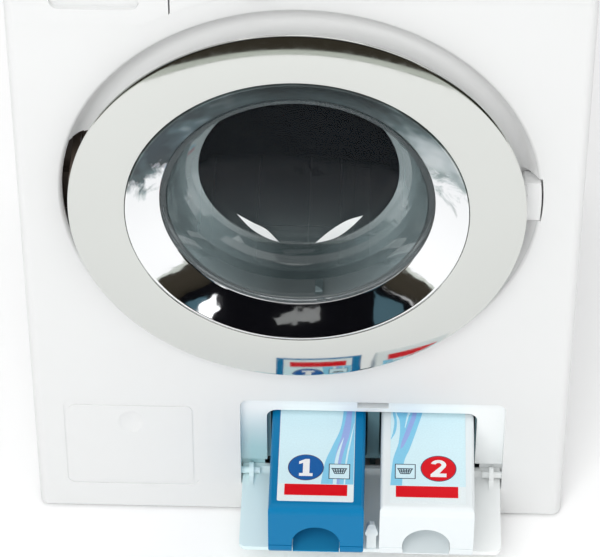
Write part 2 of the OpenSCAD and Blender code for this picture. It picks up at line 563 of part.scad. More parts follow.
// a wire swept along its route with six sides
function unit(v) = v / norm(v);
module wire(pts, r) {
  n = len(pts);
  d = [for (i = [0:n - 2]) unit(pts[i + 1] - pts[i])];
  t = [for (i = [0:n - 1]) i == 0 ? d[0] : i == n - 1 ? d[n - 2] : unit(d[i - 1] + d[i])];
  u = [for (i = [0:n - 1]) unit(cross(t[i], [0.31, 0.22, 0.92]))];
  v = [for (i = [0:n - 1]) cross(t[i], u[i])];
  polyhedron(
    points = [for (i = [0:n - 1], k = [0:5]) pts[i] + r * (cos(60 * k) * u[i] + sin(60 * k) * v[i])],
    faces = concat([[5, 4, 3, 2, 1, 0]], [[for (k = [0:5]) (n - 1) * 6 + k]],
      [for (i = [0:n - 2], k = [0:5]) let (k2 = (k + 1) % 6) each
        [[i * 6 + k, i * 6 + k2, (i + 1) * 6 + k2], [i * 6 + k, (i + 1) * 6 + k2, (i + 1) * 6 + k]]]));
}
module wiring_loom() color([0.7, 0.15, 0.12]) place() {
  wire([[mpx - 7, 165.9, mpz], [29, 168.5, mpz + 1], [60, 168, 124], [66, 160, 170], [38, 140, 204], [31, 122.0, 209]], 0.8);
  wire([[45, 161.1, 66], [62, 158, 80], [72, 158, 120], [72, 150, 180], [38, 132, 213], [20, 122.4, 208.5]], 0.8);
  wire([[-40, 130.8, 19.6], [-40, 134, 24], [-66, 140, 60], [-70, 140, 150], [-50, 132, 210], [-32, 123.8, 208]], 0.8);
  wire([[70, 11.95, 240], [72, 30, 232], [76, 100, 226], [50, 126, 220], [14, 127, 212], [9, 122.3, 208.5]], 0.8);
}

/* ---------- detergent drawer ---------- */
module drawer_housing() color([0.9, 0.91, 0.92]) place() difference() {
  union() {
    box(-90, -42.2, 3.2, 66, 225.8, 252.4);
    ypl(2.9, 4.3) rrect(-90.1, -40.7, 222, 253.6, 1);
  }
  box(-88.6, -43.4, 1, 64.6, 227.3, 251.2);
}
module detergent_drawer() color(white) place() difference() {
  union() {
    // front plate that follows the arc over the door
    difference() {
      intersection() {
        ypl(-0.5, 2.4) rrect(-92.4, -40.9, 221.5, 252.5, 1);
        union() {
          box(-92.4 + edge_r, -40, -1, 3, 220, 254);
          zcyl(-92.4 + edge_r, edge_r - 0.5, 220, 254, edge_r);
        }
      }
      ycyl(rcx, rcz, -2, 4, arc_r + 0.3);
      // finger recess
      ypl(-2, 1.0) rrect(-78, -50, 227.5, 247, 3);
    }
    // scoop behind the finger recess
    box(-79.5, -48.5, 0.5, 10.5, 229, 248.4);
    // tray
    box(-88, -44, 2.3, 60, 228, 250);
  }
  ypl(-2, 1.2) rrect(-78, -50, 227.5, 247, 3);
  intersection() {
    ypl(-2, 8) rrect(-78, -50, 229.5, 247, 3);
    translate([-64, 0, 247]) rotate([0, 90, 0]) cylinder(r = 15, h = 60, center = true);
    box(-80, -48, -2, 9, 229.5, 247);
  }
  // two compartments, open at the top
  box(-86.8, -66.4, 11.8, 58.8, 229.2, 252);
  box(-65.2, -45.2, 11.8, 58.8, 229.2, 252);
}

/* ---------- controls ---------- */
knob_z = 246.2;
module selector_knob() color([0.85, 0.86, 0.87]) place() difference() {
  union() {
    yrev(-14, knob_z, [[0, -7.2], [knob_r - 1.6, -7.2], [knob_r - 0.6, -6.8], [knob_r - 0.3, -6.1], [knob_r, -2.2], [knob_r, -1.0], [0, -1.0]]);
    for (a = [0:20:340]) translate([-14, 0, knob_z]) rotate([0, a, 0]) translate([0, 0, knob_r - 0.15]) box(-0.5, 0.5, -6.0, -1.4, -0.4, 0.3);
  }
  box(-14.4, -13.6, -8, -6.7, 249, 253.4);
  ycyl(-14, knob_z, -5.4, 0, 2.0);
}
module selector_shaft() color("silver") place() ycyl(-14, knob_z, -5.3, 10, 1.99);
module selector_switch() color(dark) place() difference() {
  union() {
    ypl(3.4, 12) rrect(-22.5, -5.5, 236.5, 252.5, 1.5);
    ycyl(-14, knob_z, 2.5, 4, 5);
    for (i = [-2:2]) box(-14 + 3 * i - 0.4, -14 + 3 * i + 0.4, 11.9, 15, 239, 239.6);
  }
  ycyl(-14, knob_z, 0, 10.4, 2.05);
}
module display_window() color([0.1, 0.12, 0.14]) place() union() {
  ypl(-0.5, 1.45) rrect(8.15, 47.85, 238.15, 250.85, 0.9);
}
module button(x) {
  yrev(x, 244.5, [[0, -2.0], [button_r - 0.5, -2.0], [button_r - 0.1, -1.7], [button_r, -1.3], [button_r, 2.5], [button_r + 1, 2.5],
    [button_r + 1, 3.4], [1.4, 3.4], [1.4, 6.9], [0, 6.9]]);
}
module button_start() color([0.75, 0.77, 0.79]) place() button(60);
module button_spin() color([0.75, 0.77, 0.79]) place() button(71);
module button_temperature() color([0.75, 0.77, 0.79]) place() button(82);
module button_board() color([0.15, 0.42, 0.25]) place() {
  ypl(9.9, 11.5) rrect(4, 88.5, 237, 252.5, 1);
  for (x = [60, 71, 82]) { box(x - 3, x + 3, 8.6, 10, 241.5, 247.5); ycyl(x, 244.5, 8.05, 8.7, 1.5); }
  // display module and spacers
  box(9.5, 46.5, 3.2, 10, 239.5, 249.5);
}

/* ---------- dispenser ---------- */
cz0 = 22.4; cz1 = 45.5;
c1x = [-9.7, 22.8]; c2x = [28.2, 60.3];
module cartridge_bay() color([0.85, 0.86, 0.87]) place() difference() {
  union() {
    box(-11.9, 62.5, 7.1, 146, 20.3, 47.6);
    for (x = [-7, 25.5, 55]) box(x - 1, x + 1, 20, 140, 3.4, 20.5);
  }
  box(c1x[0] - 0.6, c1x[1] + 0.6, 5, 144.4, 21.9, 46.1);
  box(c2x[0] - 0.6, c2x[1] + 0.6, 5, 144.4, 21.9, 46.1);
}
module cartridge_flap() color(white) place() difference() {
  union() {
    intersection() {
      box(flx0, flx1, fly - flap_l, fly, flz - 3.4, flz - 1.8);
      translate([0, 0, 5]) linear_extrude(20) rrect(flx0, flx1, fly - flap_l, 12, 2.6);
    }
    // rolled hinge edge
    intersection() {
      difference() { xcyl(fly, flz, flx0, flx1, 3.4); xcyl(fly, flz, flx0 - 1, flx1 + 1, 1.8); }
      box(flx0 - 1, flx1 + 1, fly, fly + 5, flz - 4, flz);
    }
    // lugs and pins
    for (s = [0, 1]) {
      x0 = s ? 66.6 : -18;
      xcyl(fly, flz, x0, x0 + 1.6, 2.9);
      box(x0, x0 + 1.6, fly - 2.9, fly + 1.4, flz - 3.2, flz);
      // gusset that runs forward from the lug
      xpl(x0, x0 + 1.6) polygon([[fly - 2.9, flz], [fly - 6.5, flz - 1.9], [fly - 2, flz - 2.4]]);
    }
    xcyl(fly, flz, pock_x0 - 1.5, -14.2, 1.25);
    xcyl(fly, flz, 64.2, pock_x1 + 1.5, 1.25);
    // latch post with an arrow head
    intersection() {
      union() {
        box(23.9, 27.2, fly - 34.3, fly - 32.5, flz - 2, flz + 6);
        ypl(fly - 34.5, fly - 32.3) polygon([[23.9, flz + 4.6], [23.3, flz + 5.2], [23.4, flz + 6.4], [24.2, flz + 9.2], [24.9, flz + 9.9],
          [26.2, flz + 9.9], [26.9, flz + 9.2], [27.7, flz + 6.4], [27.8, flz + 5.2], [27.2, flz + 4.6]]);
      }
      xcyl(fly, flz, 20, 31, 35.4);
    }
  }
}
module flap_catch() color([0.85, 0.86, 0.87]) place() difference() {
  box(14, 36, 8.6, 10, 48.2, 58);
  box(20, 30.4, 8, 11, 49, 54);
}
// outline of a cartridge from the side: rounded front corners, bevelled top edge
cart_front = -cart_out;
cart_side = concat(arc(cart_front + 3, cz0 + 3, 3, 270, 180, 6), [[cart_front, cz1 - 3.6]],
  arc(cart_front + 3.4, cz1 - 3.4, 3.4, 180, 90, 5), [[cart_front + cart_l, cz1 - 0.2], [cart_front + cart_l, cz0]]);
module cartridge(x) difference() {
  intersection() {
    xpl(x[0], x[1]) polygon(cart_side);
    ypl(cart_front - 1, cart_front + cart_l + 1) hull() {
      for (q = [[x[0] + 3, cz0 + 3, 3], [x[1] - 3, cz0 + 3, 3], [x[0] + 1.8, cz1 - 1.8, 1.8], [x[1] - 1.8, cz1 - 1.8, 1.8]])
        translate([q[0], q[1]]) circle(q[2]);
    }
  }
  // finger cut-out
  intersection() {
    ypl(cart_front - 1, cart_front + 14) union() {
      translate([(x[0] + x[1]) / 2, cz0 + 5.8]) circle(8.2);
      translate([(x[0] + x[1]) / 2 - 8.2, cz0 - 2]) square([16.4, 7.8]);
    }
    translate([0, cart_front - 1, cz0 - 3]) rotate([0, 90, 0]) cylinder(r = 18.6, h = 200, center = true);
  }
  // step line across the front
  box(x[0] - 1, x[1] + 1, cart_front - 1, cart_front + 0.25, 26.9, 27.3);
  // inside
  box(x[0] + 1.6, x[1] - 1.6, cart_front + 18, cart_front + cart_l + 1, cz0 + 1.6, cz1 - 1.8);
}
module cart_cap(x) {
  box(x[0] + 1.7, x[1] - 1.7, cart_front + cart_l - 2.4, cart_front + cart_l - 0.4, cz0 + 1.7, cz1 - 1.9);
  ycyl((x[0] + x[1]) / 2, (cz0 + cz1) / 2, cart_front + cart_l - 2, cart_front + cart_l + 1.6, 3);
}
module cart_label(x0, x1) translate([0, 0, cz1]) linear_extrude(0.12) rrect(x0, x1, -37.6, 33, 0.6);
module cartridge_1_body() color(blue) place() cartridge(c1x);
module cartridge_1_cap() color(blue) place() cart_cap(c1x);
module cartridge_1_label() color([0.8, 0.93, 0.97]) place() cart_label(-6.8, 19.2);
module cartridge_2_body() color(white) place() cartridge(c2x);
module cartridge_2_cap() color(white) place() cart_cap(c2x);
module cartridge_2_label() color([0.8, 0.93, 0.97]) place() cart_label(31.4, 57.4);

cabinet_shell();
front_panel();
control_panel();
top_lid();
rear_cover();
base_plate();
feet();
case_screws();
door_ring();
window_cone();
door_frame();
window_bowl();
window_clamp();
door_screws();
hinge_bracket();
door_hinge_pin();
door_seal();
tub();
tub_screws();
drum();
drum_shaft();
drum_bush();
drum_gear();
idler_gear();
idler_axle();
motor_pinion();
motor_shaft();
motor();
motor_bracket();
drain_pipe();
drain_spigot();
drain_cap();
battery_box();
batteries();
battery_contacts();
battery_door();
battery_door_screw();
circuit_board();
speaker();
wiring_loom();
drawer_housing();
detergent_drawer();
selector_knob();
selector_shaft();
selector_switch();
display_window();
button_board();
button_start();
button_spin();
button_temperature();
cartridge_bay();
cartridge_flap();
flap_catch();
cartridge_1_body();
cartridge_1_cap();
cartridge_1_label();
cartridge_2_body();
cartridge_2_cap();
cartridge_2_label();
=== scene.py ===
import bpy, bmesh
from math import sin, cos, pi, sqrt, radians, atan2, tan
from mathutils import Vector, Matrix


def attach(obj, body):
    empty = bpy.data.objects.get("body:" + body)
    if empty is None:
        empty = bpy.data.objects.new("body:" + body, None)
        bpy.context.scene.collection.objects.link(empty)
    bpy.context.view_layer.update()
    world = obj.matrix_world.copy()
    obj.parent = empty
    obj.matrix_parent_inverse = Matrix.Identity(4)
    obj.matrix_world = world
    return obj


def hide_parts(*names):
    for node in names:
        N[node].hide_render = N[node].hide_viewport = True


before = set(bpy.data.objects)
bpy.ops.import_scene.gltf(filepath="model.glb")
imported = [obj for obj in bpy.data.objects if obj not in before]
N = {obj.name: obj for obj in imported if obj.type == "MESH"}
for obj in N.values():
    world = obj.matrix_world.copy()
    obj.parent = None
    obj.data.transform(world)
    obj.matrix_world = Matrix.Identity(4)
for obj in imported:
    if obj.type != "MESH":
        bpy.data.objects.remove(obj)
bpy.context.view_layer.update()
MY = 69.4                       # middle of the toy behind its front face, mm
DX, DZ = -0.8, 149.8            # axis of door, tub and drum
RCX, RCZ = -0.1, 149.8          # centre of the round recess


def P(x, yp, z):
    """millimetres, yp behind the front face, to metres in the shared frame"""
    return Vector((x / 1000, (yp - MY) / 1000, z / 1000))


# ------------------------------------------------------------------ camera first
cam = bpy.data.cameras.new("camera")
cam.lens = 203.6
cam.sensor_width = 36.0
cam.sensor_fit = "HORIZONTAL"
cam.clip_start, cam.clip_end = 0.05, 30
cam_o = bpy.data.objects.new("camera", cam)
bpy.context.scene.collection.objects.link(cam_o)
cam_o.location = (0.0240, -0.8889, 0.8914)
cam_o.rotation_euler = (radians(46.516), radians(0.0), radians(1.678))
bpy.context.scene.camera = cam_o


# ------------------------------------------------------------------ mesh helpers
def link(o):
    bpy.context.scene.collection.objects.link(o)
    return o


def mesh_obj(name, verts, faces, smooth=True):
    me = bpy.data.meshes.new(name)
    me.from_pydata([tuple(v) for v in verts], [], faces)
    me.validate()
    bm = bmesh.new()
    bm.from_mesh(me)
    bmesh.ops.remove_doubles(bm, verts=bm.verts, dist=1e-7)
    bmesh.ops.recalc_face_normals(bm, faces=bm.faces)
    bm.to_mesh(me)
    bm.free()
    me.shade_smooth() if smooth else me.shade_flat()
    return link(bpy.data.objects.new(name, me))


def lathe(name, prof, n=256, cx=DX, cz=DZ, closed=True):
    """prof lists (radius, yp); turned about the door's axis"""
    vs, fs, m = [], [], len(prof)
    for i in range(n):
        a = 2 * pi * i / n
        for r, y in prof:
            vs.append(P(cx + r * cos(a), y, cz + r * sin(a)))
    for i in range(n):
        j = (i + 1) % n
        for k in range(m if closed else m - 1):
            l = (k + 1) % m
            fs.append((i * m + k, j * m + k, j * m + l, i * m + l))
    return mesh_obj(name, vs, fs)


def smooth_corners(pts, r, n=6, closed=True):
    """rounds each corner of a polyline with radius r (a number, or one per point)"""
    out = []
    m = len(pts)
    for i, p in enumerate(pts):
        rr = r[i] if isinstance(r, (list, tuple)) else r
        a, b = Vector(pts[i - 1]), Vector(pts[(i + 1) % m])
        p = Vector(p)
        if (not closed and i in (0, m - 1)) or rr <= 0:
            out.append(tuple(p))
            continue
        u, v = (a - p), (b - p)
        lu, lv = u.length, v.length
        u.normalize()
        v.normalize()
        ang = u.angle(v)
        if ang > pi - 0.02:
            out.append(tuple(p))
            continue
        d = min(rr / tan(ang / 2), 0.48 * lu, 0.48 * lv)
        rr = d * tan(ang / 2)
        c = p + (u + v).normalized() * (rr / sin(ang / 2))
        s, e = p + u * d - c, p + v * d - c
        for k in range(n + 1):
            t = k / n
            w = s.slerp(e, t) if s.length > 1e-9 else s
            out.append(tuple(c + w))
    return out


def gn_smooth(obj, angle=32):
    """shades the faces smooth and marks edges sharper than the angle as sharp, on the evaluated mesh only"""
    name = "weld_and_smooth_%d" % angle
    g = bpy.data.node_groups.get(name)
    if g is None:
        g = bpy.data.node_groups.new(name, "GeometryNodeTree")
        g.interface.new_socket("Geometry", in_out="INPUT", socket_type="NodeSocketGeometry")
        g.interface.new_socket("Geometry", in_out="OUTPUT", socket_type="NodeSocketGeometry")
        i, o = g.nodes.new("NodeGroupInput"), g.nodes.new("NodeGroupOutput")
        f = g.nodes.new("GeometryNodeSetShadeSmooth")
        f.domain = "FACE"
        s = g.nodes.new("GeometryNodeSetShadeSmooth")
        s.domain = "EDGE"
        e = g.nodes.new("GeometryNodeInputMeshEdgeAngle")
        c = g.nodes.new("FunctionNodeCompare")
        c.data_type, c.operation = "FLOAT", "LESS_THAN"
        c.inputs[1].default_value = radians(angle)
        g.links.new(i.outputs[0], f.inputs["Geometry"])
        g.links.new(e.outputs[0], c.inputs[0])
        g.links.new(f.outputs[0], s.inputs["Geometry"])
        g.links.new(c.outputs[0], s.inputs["Shade Smooth"])
        g.links.new(s.outputs[0], o.inputs[0])
    m = obj.modifiers.new("smooth", "NODES")
    m.node_group = g
    return m


def polish(node, width=0.35, angle=38, seg=2, smooth_angle=32, dissolve=True):
    """gives a CAD node moulded edges: weld, merge flat triangles, small bevel, weighted normals"""
    o = N[node]
    for a in ("custom_normal",):
        if a in o.data.attributes:
            o.data.attributes.remove(o.data.attributes[a])
    w = o.modifiers.new("weld", "WELD")
    w.merge_threshold = 2e-6
    if dissolve:
        d = o.modifiers.new("flat", "DECIMATE")
        d.decimate_type = "DISSOLVE"
        d.angle_limit = radians(0.6)
    if width:
        b = o.modifiers.new("edges", "BEVEL")
        b.width = width / 1000
        b.segments = seg
        b.limit_method = "ANGLE"
        b.angle_limit = radians(angle)
        b.miter_outer = "MITER_ARC"
        b.use_clamp_overlap = True
        b.harden_normals = False
    gn_smooth(o, smooth_angle)
    wn = o.modifiers.new("normals", "WEIGHTED_NORMAL")
    wn.keep_sharp = True
    wn.weight = 60
    return o


# ------------------------------------------------------------------ materials
def new_mat(name):
    m = bpy.data.materials.new(name)
    m.use_nodes = True
    nt = m.node_tree
    b = nt.nodes["Principled BSDF"]
    return m, nt, b


def noise(nt, scale, detail=3.0, rough=0.55, coord=None):
    c = nt.nodes.new("ShaderNodeTexCoord") if coord is None else coord
    t = nt.nodes.new("ShaderNodeTexNoise")
    t.inputs["Scale"].default_value = scale
    t.inputs["Detail"].default_value = detail
    t.inputs["Roughness"].default_value = rough
    nt.links.new(c.outputs["Object"], t.inputs["Vector"])
    return t, c


def ramp(nt, src, stops, interp="LINEAR"):
    r = nt.nodes.new("ShaderNodeValToRGB")
    r.color_ramp.interpolation = interp
    e = r.color_ramp.elements
    e[0].position, e[0].color = stops[0][0], stops[0][1]
    e[1].position, e[1].color = stops[-1][0], stops[-1][1]
    for p, c in stops[1:-1]:
        x = e.new(p)
        x.color = c
    nt.links.new(src, r.inputs[0])
    return r


def maprange(nt, src, a, b, c, d):
    r = nt.nodes.new("ShaderNodeMapRange")
    r.inputs["From Min"].default_value, r.inputs["From Max"].default_value = a, b
    r.inputs["To Min"].default_value, r.inputs["To Max"].default_value = c, d
    nt.links.new(src, r.inputs["Value"])
    return r


def bump(nt, b, height, strength, dist):
    n = nt.nodes.new("ShaderNodeBump")
    n.inputs["Strength"].default_value = strength
    n.inputs["Distance"].default_value = dist
    nt.links.new(height, n.inputs["Height"])
    nt.links.new(n.outputs["Normal"], b.inputs["Normal"])
    return n


def plastic(name, col, rough=0.3, var=0.02, grain=900, grain_d=0.00003, coat=0.0, spec=0.5, tint=None):
    """moulded plastic: slow colour drift, faint flow marks, fine moulded grain"""
    m, nt, b = new_mat(name)
    big, c = noise(nt, 9, 2)
    fine, _ = noise(nt, grain, 2, 0.6, c)
    mid, _ = noise(nt, 55, 4, 0.6, c)
    lo = tuple(max(0, x * (1 - var)) for x in col) + (1,)
    hi = tuple(min(1, x * (1 + var * 0.6)) for x in col) + (1,)
    if tint:
        lo = tuple(tint) + (1,)
    r = ramp(nt, big.outputs["Fac"], [(0.3, lo), (0.7, hi)])
    nt.links.new(r.outputs["Color"], b.inputs["Base Color"])
    q = maprange(nt, mid.outputs["Fac"], 0.3, 0.7, rough * 0.88, rough * 1.14)
    nt.links.new(q.outputs[0], b.inputs["Roughness"])
    b.inputs["Specular IOR Level"].default_value = spec
    b.inputs["IOR"].default_value = 1.49
    if coat:
        b.inputs["Coat Weight"].default_value = coat
        b.inputs["Coat Roughness"].default_value = 0.08
    bump(nt, b, fine.outputs["Fac"], 0.35, grain_d)
    return m


def metal(name, col, rough=0.25, scratch=0.00001):
    m, nt, b = new_mat(name)
    b.inputs["Metallic"].default_value = 1.0
    n1, c = noise(nt, 40, 4)
    lo = tuple(x * 0.9 for x in col) + (1,)
    r = ramp(nt, n1.outputs["Fac"], [(0.3, lo), (0.7, tuple(col) + (1,))])
    nt.links.new(r.outputs["Color"], b.inputs["Base Color"])
    n2, _ = noise(nt, 260, 3, 0.6, c)
    q = maprange(nt, n2.outputs["Fac"], 0.3, 0.7, rough * 0.8, rough * 1.25)
    nt.links.new(q.outputs[0], b.inputs["Roughness"])
    bump(nt, b, n2.outputs["Fac"], 0.2, scratch)
    return m


def chrome_plated(name, col=(0.80, 0.805, 0.785), rough=0.03, wave=14, depth=0.00006, strength=0.25):
    """plated plastic: near mirror, with faint sink waves from the moulding under the plating"""
    m, nt, b = new_mat(name)
    b.inputs["Metallic"].default_value = 1.0
    n1, c = noise(nt, wave, 2)
    r = ramp(nt, n1.outputs["Fac"], [(0.3, tuple(x * 0.985 for x in col) + (1,)), (0.7, tuple(col) + (1,))])
    nt.links.new(r.outputs["Color"], b.inputs["Base Color"])
    n2, _ = noise(nt, 380, 3, 0.5, c)
    q = maprange(nt, n2.outputs["Fac"], 0.35, 0.75, rough, rough * 1.9)
    nt.links.new(q.outputs[0], b.inputs["Roughness"])
    bump(nt, b, n1.outputs["Fac"], strength, depth)
    return m


def painted_bounce_grade(name, left, right, x0, x1, rough=0.34):
    """moulded plastic with painted bounce light: the colour runs across x from a teal-tinted side to plain white"""
    m, nt, b = new_mat(name)
    c = nt.nodes.new("ShaderNodeTexCoord")
    sep = nt.nodes.new("ShaderNodeSeparateXYZ")
    nt.links.new(c.outputs["Object"], sep.inputs[0])
    q = maprange(nt, sep.outputs["X"], x0 / 1000, x1 / 1000, 0, 1)
    n1 = nt.nodes.new("ShaderNodeTexNoise")
    n1.inputs["Scale"].default_value = 1200
    nt.links.new(c.outputs["Object"], n1.inputs["Vector"])
    r = ramp(nt, q.outputs[0], [(0.0, tuple(left) + (1,)), (1.0, tuple(right) + (1,))])
    nt.links.new(r.outputs["Color"], b.inputs["Base Color"])
    n2, _ = noise(nt, 55, 4, 0.6, c)
    w = maprange(nt, n2.outputs["Fac"], 0.3, 0.7, rough * 0.88, rough * 1.14)
    nt.links.new(w.outputs[0], b.inputs["Roughness"])
    bump(nt, b, n1.outputs["Fac"], 0.35, 0.00002)
    return m


M = {}
M["white"] = plastic("white_moulded", (0.745, 0.753, 0.750), 0.36, 0.012, 1400, 0.00002, coat=0.1)
M["white_side"] = plastic("white_casing", (0.755, 0.765, 0.765), 0.40, 0.012, 1100, 0.00004)
M["grey"] = plastic("light_grey_plastic", (0.62, 0.65, 0.67), 0.42, 0.03, 900, 0.000012)
M["dark"] = plastic("charcoal_plastic", (0.03, 0.032, 0.036), 0.4, 0.1)
M["drum"] = plastic("slate_drum", (0.0135, 0.0185, 0.0235), 0.30, 0.08, 500, 0.000006, spec=0.45)
M["blue"] = plastic("blue_moulded", (0.0005, 0.178, 0.395), 0.40, 0.05, 1200, 0.00003, spec=0.2)
M["cart_white"] = plastic("cartridge_white", (0.78, 0.83, 0.845), 0.34, 0.015, 1200, 0.00003)
# painted bounce light: teal glow on the flap's left side beside the blue cartridge
M["flap"] = painted_bounce_grade("flap_white_painted_bounce", (0.75, 0.90, 0.91), (0.90, 0.915, 0.91), -8, 40)
M["bay"] = plastic("bay_plastic", (0.15, 0.27, 0.30), 0.42, 0.05, 900, 0.000012)
M["gear"] = plastic("natural_acetal", (0.72, 0.70, 0.62), 0.4, 0.03)
# painted shade: dark brown for the hinge slot, its arms and bracket
M["hinge_shade_brown"] = plastic("hinge_pocket_painted_shade", (0.105, 0.082, 0.066), 0.55, 0.1)
M["rubber"] = plastic("grey_rubber", (0.10, 0.105, 0.11), 0.7, 0.1, 700, 0.00006, spec=0.3)
M["seal"] = plastic("seal_rubber", (0.13, 0.155, 0.165), 0.55, 0.06, 700, 0.00001, spec=0.3)
M["board"] = plastic("board_green", (0.02, 0.11, 0.045), 0.35, 0.1)
M["battery"] = plastic("battery_film", (0.35, 0.23, 0.05), 0.25, 0.05)
M["wire"] = plastic("wire_red", (0.45, 0.02, 0.015), 0.45, 0.05)
M["display"] = plastic("display_smoke", (0.008, 0.010, 0.013), 0.09, 0.05, coat=0.5)
M["steel"] = metal("plated_steel", (0.62, 0.63, 0.64), 0.26)
M["brass"] = metal("sintered_bronze", (0.60, 0.42, 0.18), 0.45)
M["chrome"] = chrome_plated("plated_chrome", (0.655, 0.67, 0.645), 0.05)
M["funnel"] = chrome_plated("plated_funnel", (0.86, 0.87, 0.88), 0.045, 115, 0.00013, 0.5)
M["chrome_knob"] = chrome_plated("plated_knob", (0.72, 0.73, 0.74), 0.14)


def painted_reflection_plating(m, zmid, reach, bright, dark):
    """painted reflection: dark torn patches painted into the plating towards the top, paler smears at the outer sides,
    and cloudier plating under them
    """
    nt = m.node_tree
    b = nt.nodes["Principled BSDF"]
    c = nt.nodes.new("ShaderNodeTexCoord")
    sep = nt.nodes.new("ShaderNodeSeparateXYZ")
    nt.links.new(c.outputs["Object"], sep.inputs[0])
    side = nt.nodes.new("ShaderNodeMath")
    side.operation = "ABSOLUTE"
    nt.links.new(sep.outputs["X"], side.inputs[0])
    lean = nt.nodes.new("ShaderNodeMath")
    lean.operation = "MULTIPLY_ADD"
    lean.inputs[1].default_value = 0.32
    nt.links.new(side.outputs[0], lean.inputs[0])
    nt.links.new(sep.outputs["Z"], lean.inputs[2])
    up = maprange(nt, lean.outputs[0], (zmid - reach) / 1000, (zmid + reach) / 1000, -0.30, 0.52)
    n1, _ = noise(nt, 75, 5, 0.62, c)
    n1.inputs["Distortion"].default_value = 1.6
    add = nt.nodes.new("ShaderNodeMath")
    nt.links.new(up.outputs[0], add.inputs[0])
    nt.links.new(n1.outputs["Fac"], add.inputs[1])
    n2, _ = noise(nt, 38, 3, 0.6, c)
    hue = ramp(nt, n2.outputs["Fac"], [(0.35, tuple(v * 0.35 for v in dark) + (1,)), (0.50, tuple(v * 0.8 for v in dark) + (1,)), (0.64, tuple(v * 1.2 for v in dark) + (1,))])
    pale = ramp(nt, n2.outputs["Fac"], [(0.40, tuple(v * 0.5 for v in dark) + (1,)), (0.48, tuple(v * 1.4 for v in dark) + (1,)), (0.56, (0.44, 0.50, 0.50, 1)), (0.66, (0.62, 0.66, 0.66, 1))])
    out_side = maprange(nt, side.outputs[0], 0.020, 0.034, 0, 1)
    tone = nt.nodes.new("ShaderNodeMix")
    tone.data_type = "RGBA"
    nt.links.new(out_side.outputs[0], tone.inputs[0])
    nt.links.new(hue.outputs["Color"], tone.inputs[6])
    nt.links.new(pale.outputs["Color"], tone.inputs[7])
    fac = maprange(nt, add.outputs[0], 0.58, 0.74, 0, 0.93)
    mix = nt.nodes.new("ShaderNodeMix")
    mix.data_type = "RGBA"
    mix.inputs[6].default_value = tuple(bright) + (1,)
    nt.links.new(fac.outputs[0], mix.inputs[0])
    nt.links.new(tone.outputs[2], mix.inputs[7])
    nt.links.new(mix.outputs[2], b.inputs["Base Color"])
    cloudy = maprange(nt, fac.outputs[0], 0, 0.93, 0.05, 0.28)
    nt.links.new(cloudy.outputs[0], b.inputs["Roughness"])


# painted reflection on the funnel: dark and pale smears in the plating's colour towards the top
painted_reflection_plating(M["funnel"], DZ + 24, 16, (0.87, 0.88, 0.89), (0.085, 0.125, 0.125))

NODE_MAT = {
    "cabinet_shell": "white_side", "front_panel": "white", "control_panel": "white", "top_lid": "white_side", "rear_cover": "white_side",
    "base_plate": "white_side", "feet": "rubber", "case_screws": "steel", "door_ring": "chrome", "window_cone": "chrome", "door_frame": "white",
    "window_bowl": "grey", "window_clamp": "white", "door_screws": "steel", "hinge_bracket": "hinge_shade_brown", "door_hinge_pin": "steel",
    "door_seal": "seal", "tub": "grey", "tub_screws": "steel", "drum": "drum", "drum_shaft": "steel", "drum_bush": "brass", "drum_gear": "gear",
    "idler_gear": "gear", "idler_axle": "steel", "motor_pinion": "gear", "motor_shaft": "steel", "motor": "steel", "motor_bracket": "grey",
    "drain_pipe": "grey", "drain_spigot": "grey", "drain_cap": "rubber", "battery_box": "dark", "batteries": "battery",
    "battery_contacts": "steel", "battery_door": "white_side", "battery_door_screw": "steel", "circuit_board": "board", "speaker": "dark",
    "wiring_loom": "wire", "drawer_housing": "grey", "detergent_drawer": "white", "selector_knob": "chrome_knob", "selector_shaft": "steel",
    "selector_switch": "dark", "display_window": "display", "button_board": "board", "button_start": "chrome_knob",
    "button_spin": "chrome_knob", "button_temperature": "chrome_knob", "cartridge_bay": "bay", "cartridge_flap": "flap",
    "flap_catch": "grey", "cartridge_1_body": "blue", "cartridge_1_cap": "blue", "cartridge_1_label": "cart_white",
    "cartridge_2_body": "cart_white", "cartridge_2_cap": "cart_white", "cartridge_2_label": "cart_white",
}
for n, key in NODE_MAT.items():
    o = N[n]
    o.data.materials.clear()
    o.data.materials.append(M[key])

# painted light: the round recess and the cartridge pocket carry a lighter copy of the panel white, and the pocket's
# left wall takes painted teal bounce light
M["white_dish"] = plastic("white_recess_painted_light", (0.93, 0.935, 0.93), 0.42, 0.012, 1400, 0.00002)
M["front"] = plastic("white_front", (0.745, 0.753, 0.750), 0.36, 0.012, 1400, 0.00002, coat=0.1)


def painted_teal_bounce(m):
    """painted bounce light: a soft teal glow beside the blue cartridge, standing for light thrown off the blue plastic
    """
    nt = m.node_tree
    b = nt.nodes["Principled BSDF"]
    src = b.inputs["Base Color"].links[0].from_socket
    c = nt.nodes.new("ShaderNodeTexCoord")
    sep = nt.nodes.new("ShaderNodeSeparateXYZ")
    nt.links.new(c.outputs["Object"], sep.inputs[0])
    parts = [maprange(nt, sep.outputs["X"], -0.026, -0.017, 0, 1), maprange(nt, sep.outputs["X"], -0.004, -0.009, 0, 1),
             maprange(nt, sep.outputs["Z"], 0.048, 0.027, 0, 1), maprange(nt, sep.outputs["Y"], -0.0692, -0.0682, 0, 0.85)]
    last = parts[0].outputs[0]
    for q in parts[1:]:
        mul = nt.nodes.new("ShaderNodeMath")
        mul.operation = "MULTIPLY"
        nt.links.new(last, mul.inputs[0])
        nt.links.new(q.outputs[0], mul.inputs[1])
        last = mul.outputs[0]
    mix = nt.nodes.new("ShaderNodeMix")
    mix.data_type = "RGBA"
    mix.inputs[7].default_value = (0.40, 0.66, 0.68, 1)
    nt.links.new(last, mix.inputs[0])
    nt.links.new(src, mix.inputs[6])
    nt.links.new(mix.outputs[2], b.inputs["Base Color"])
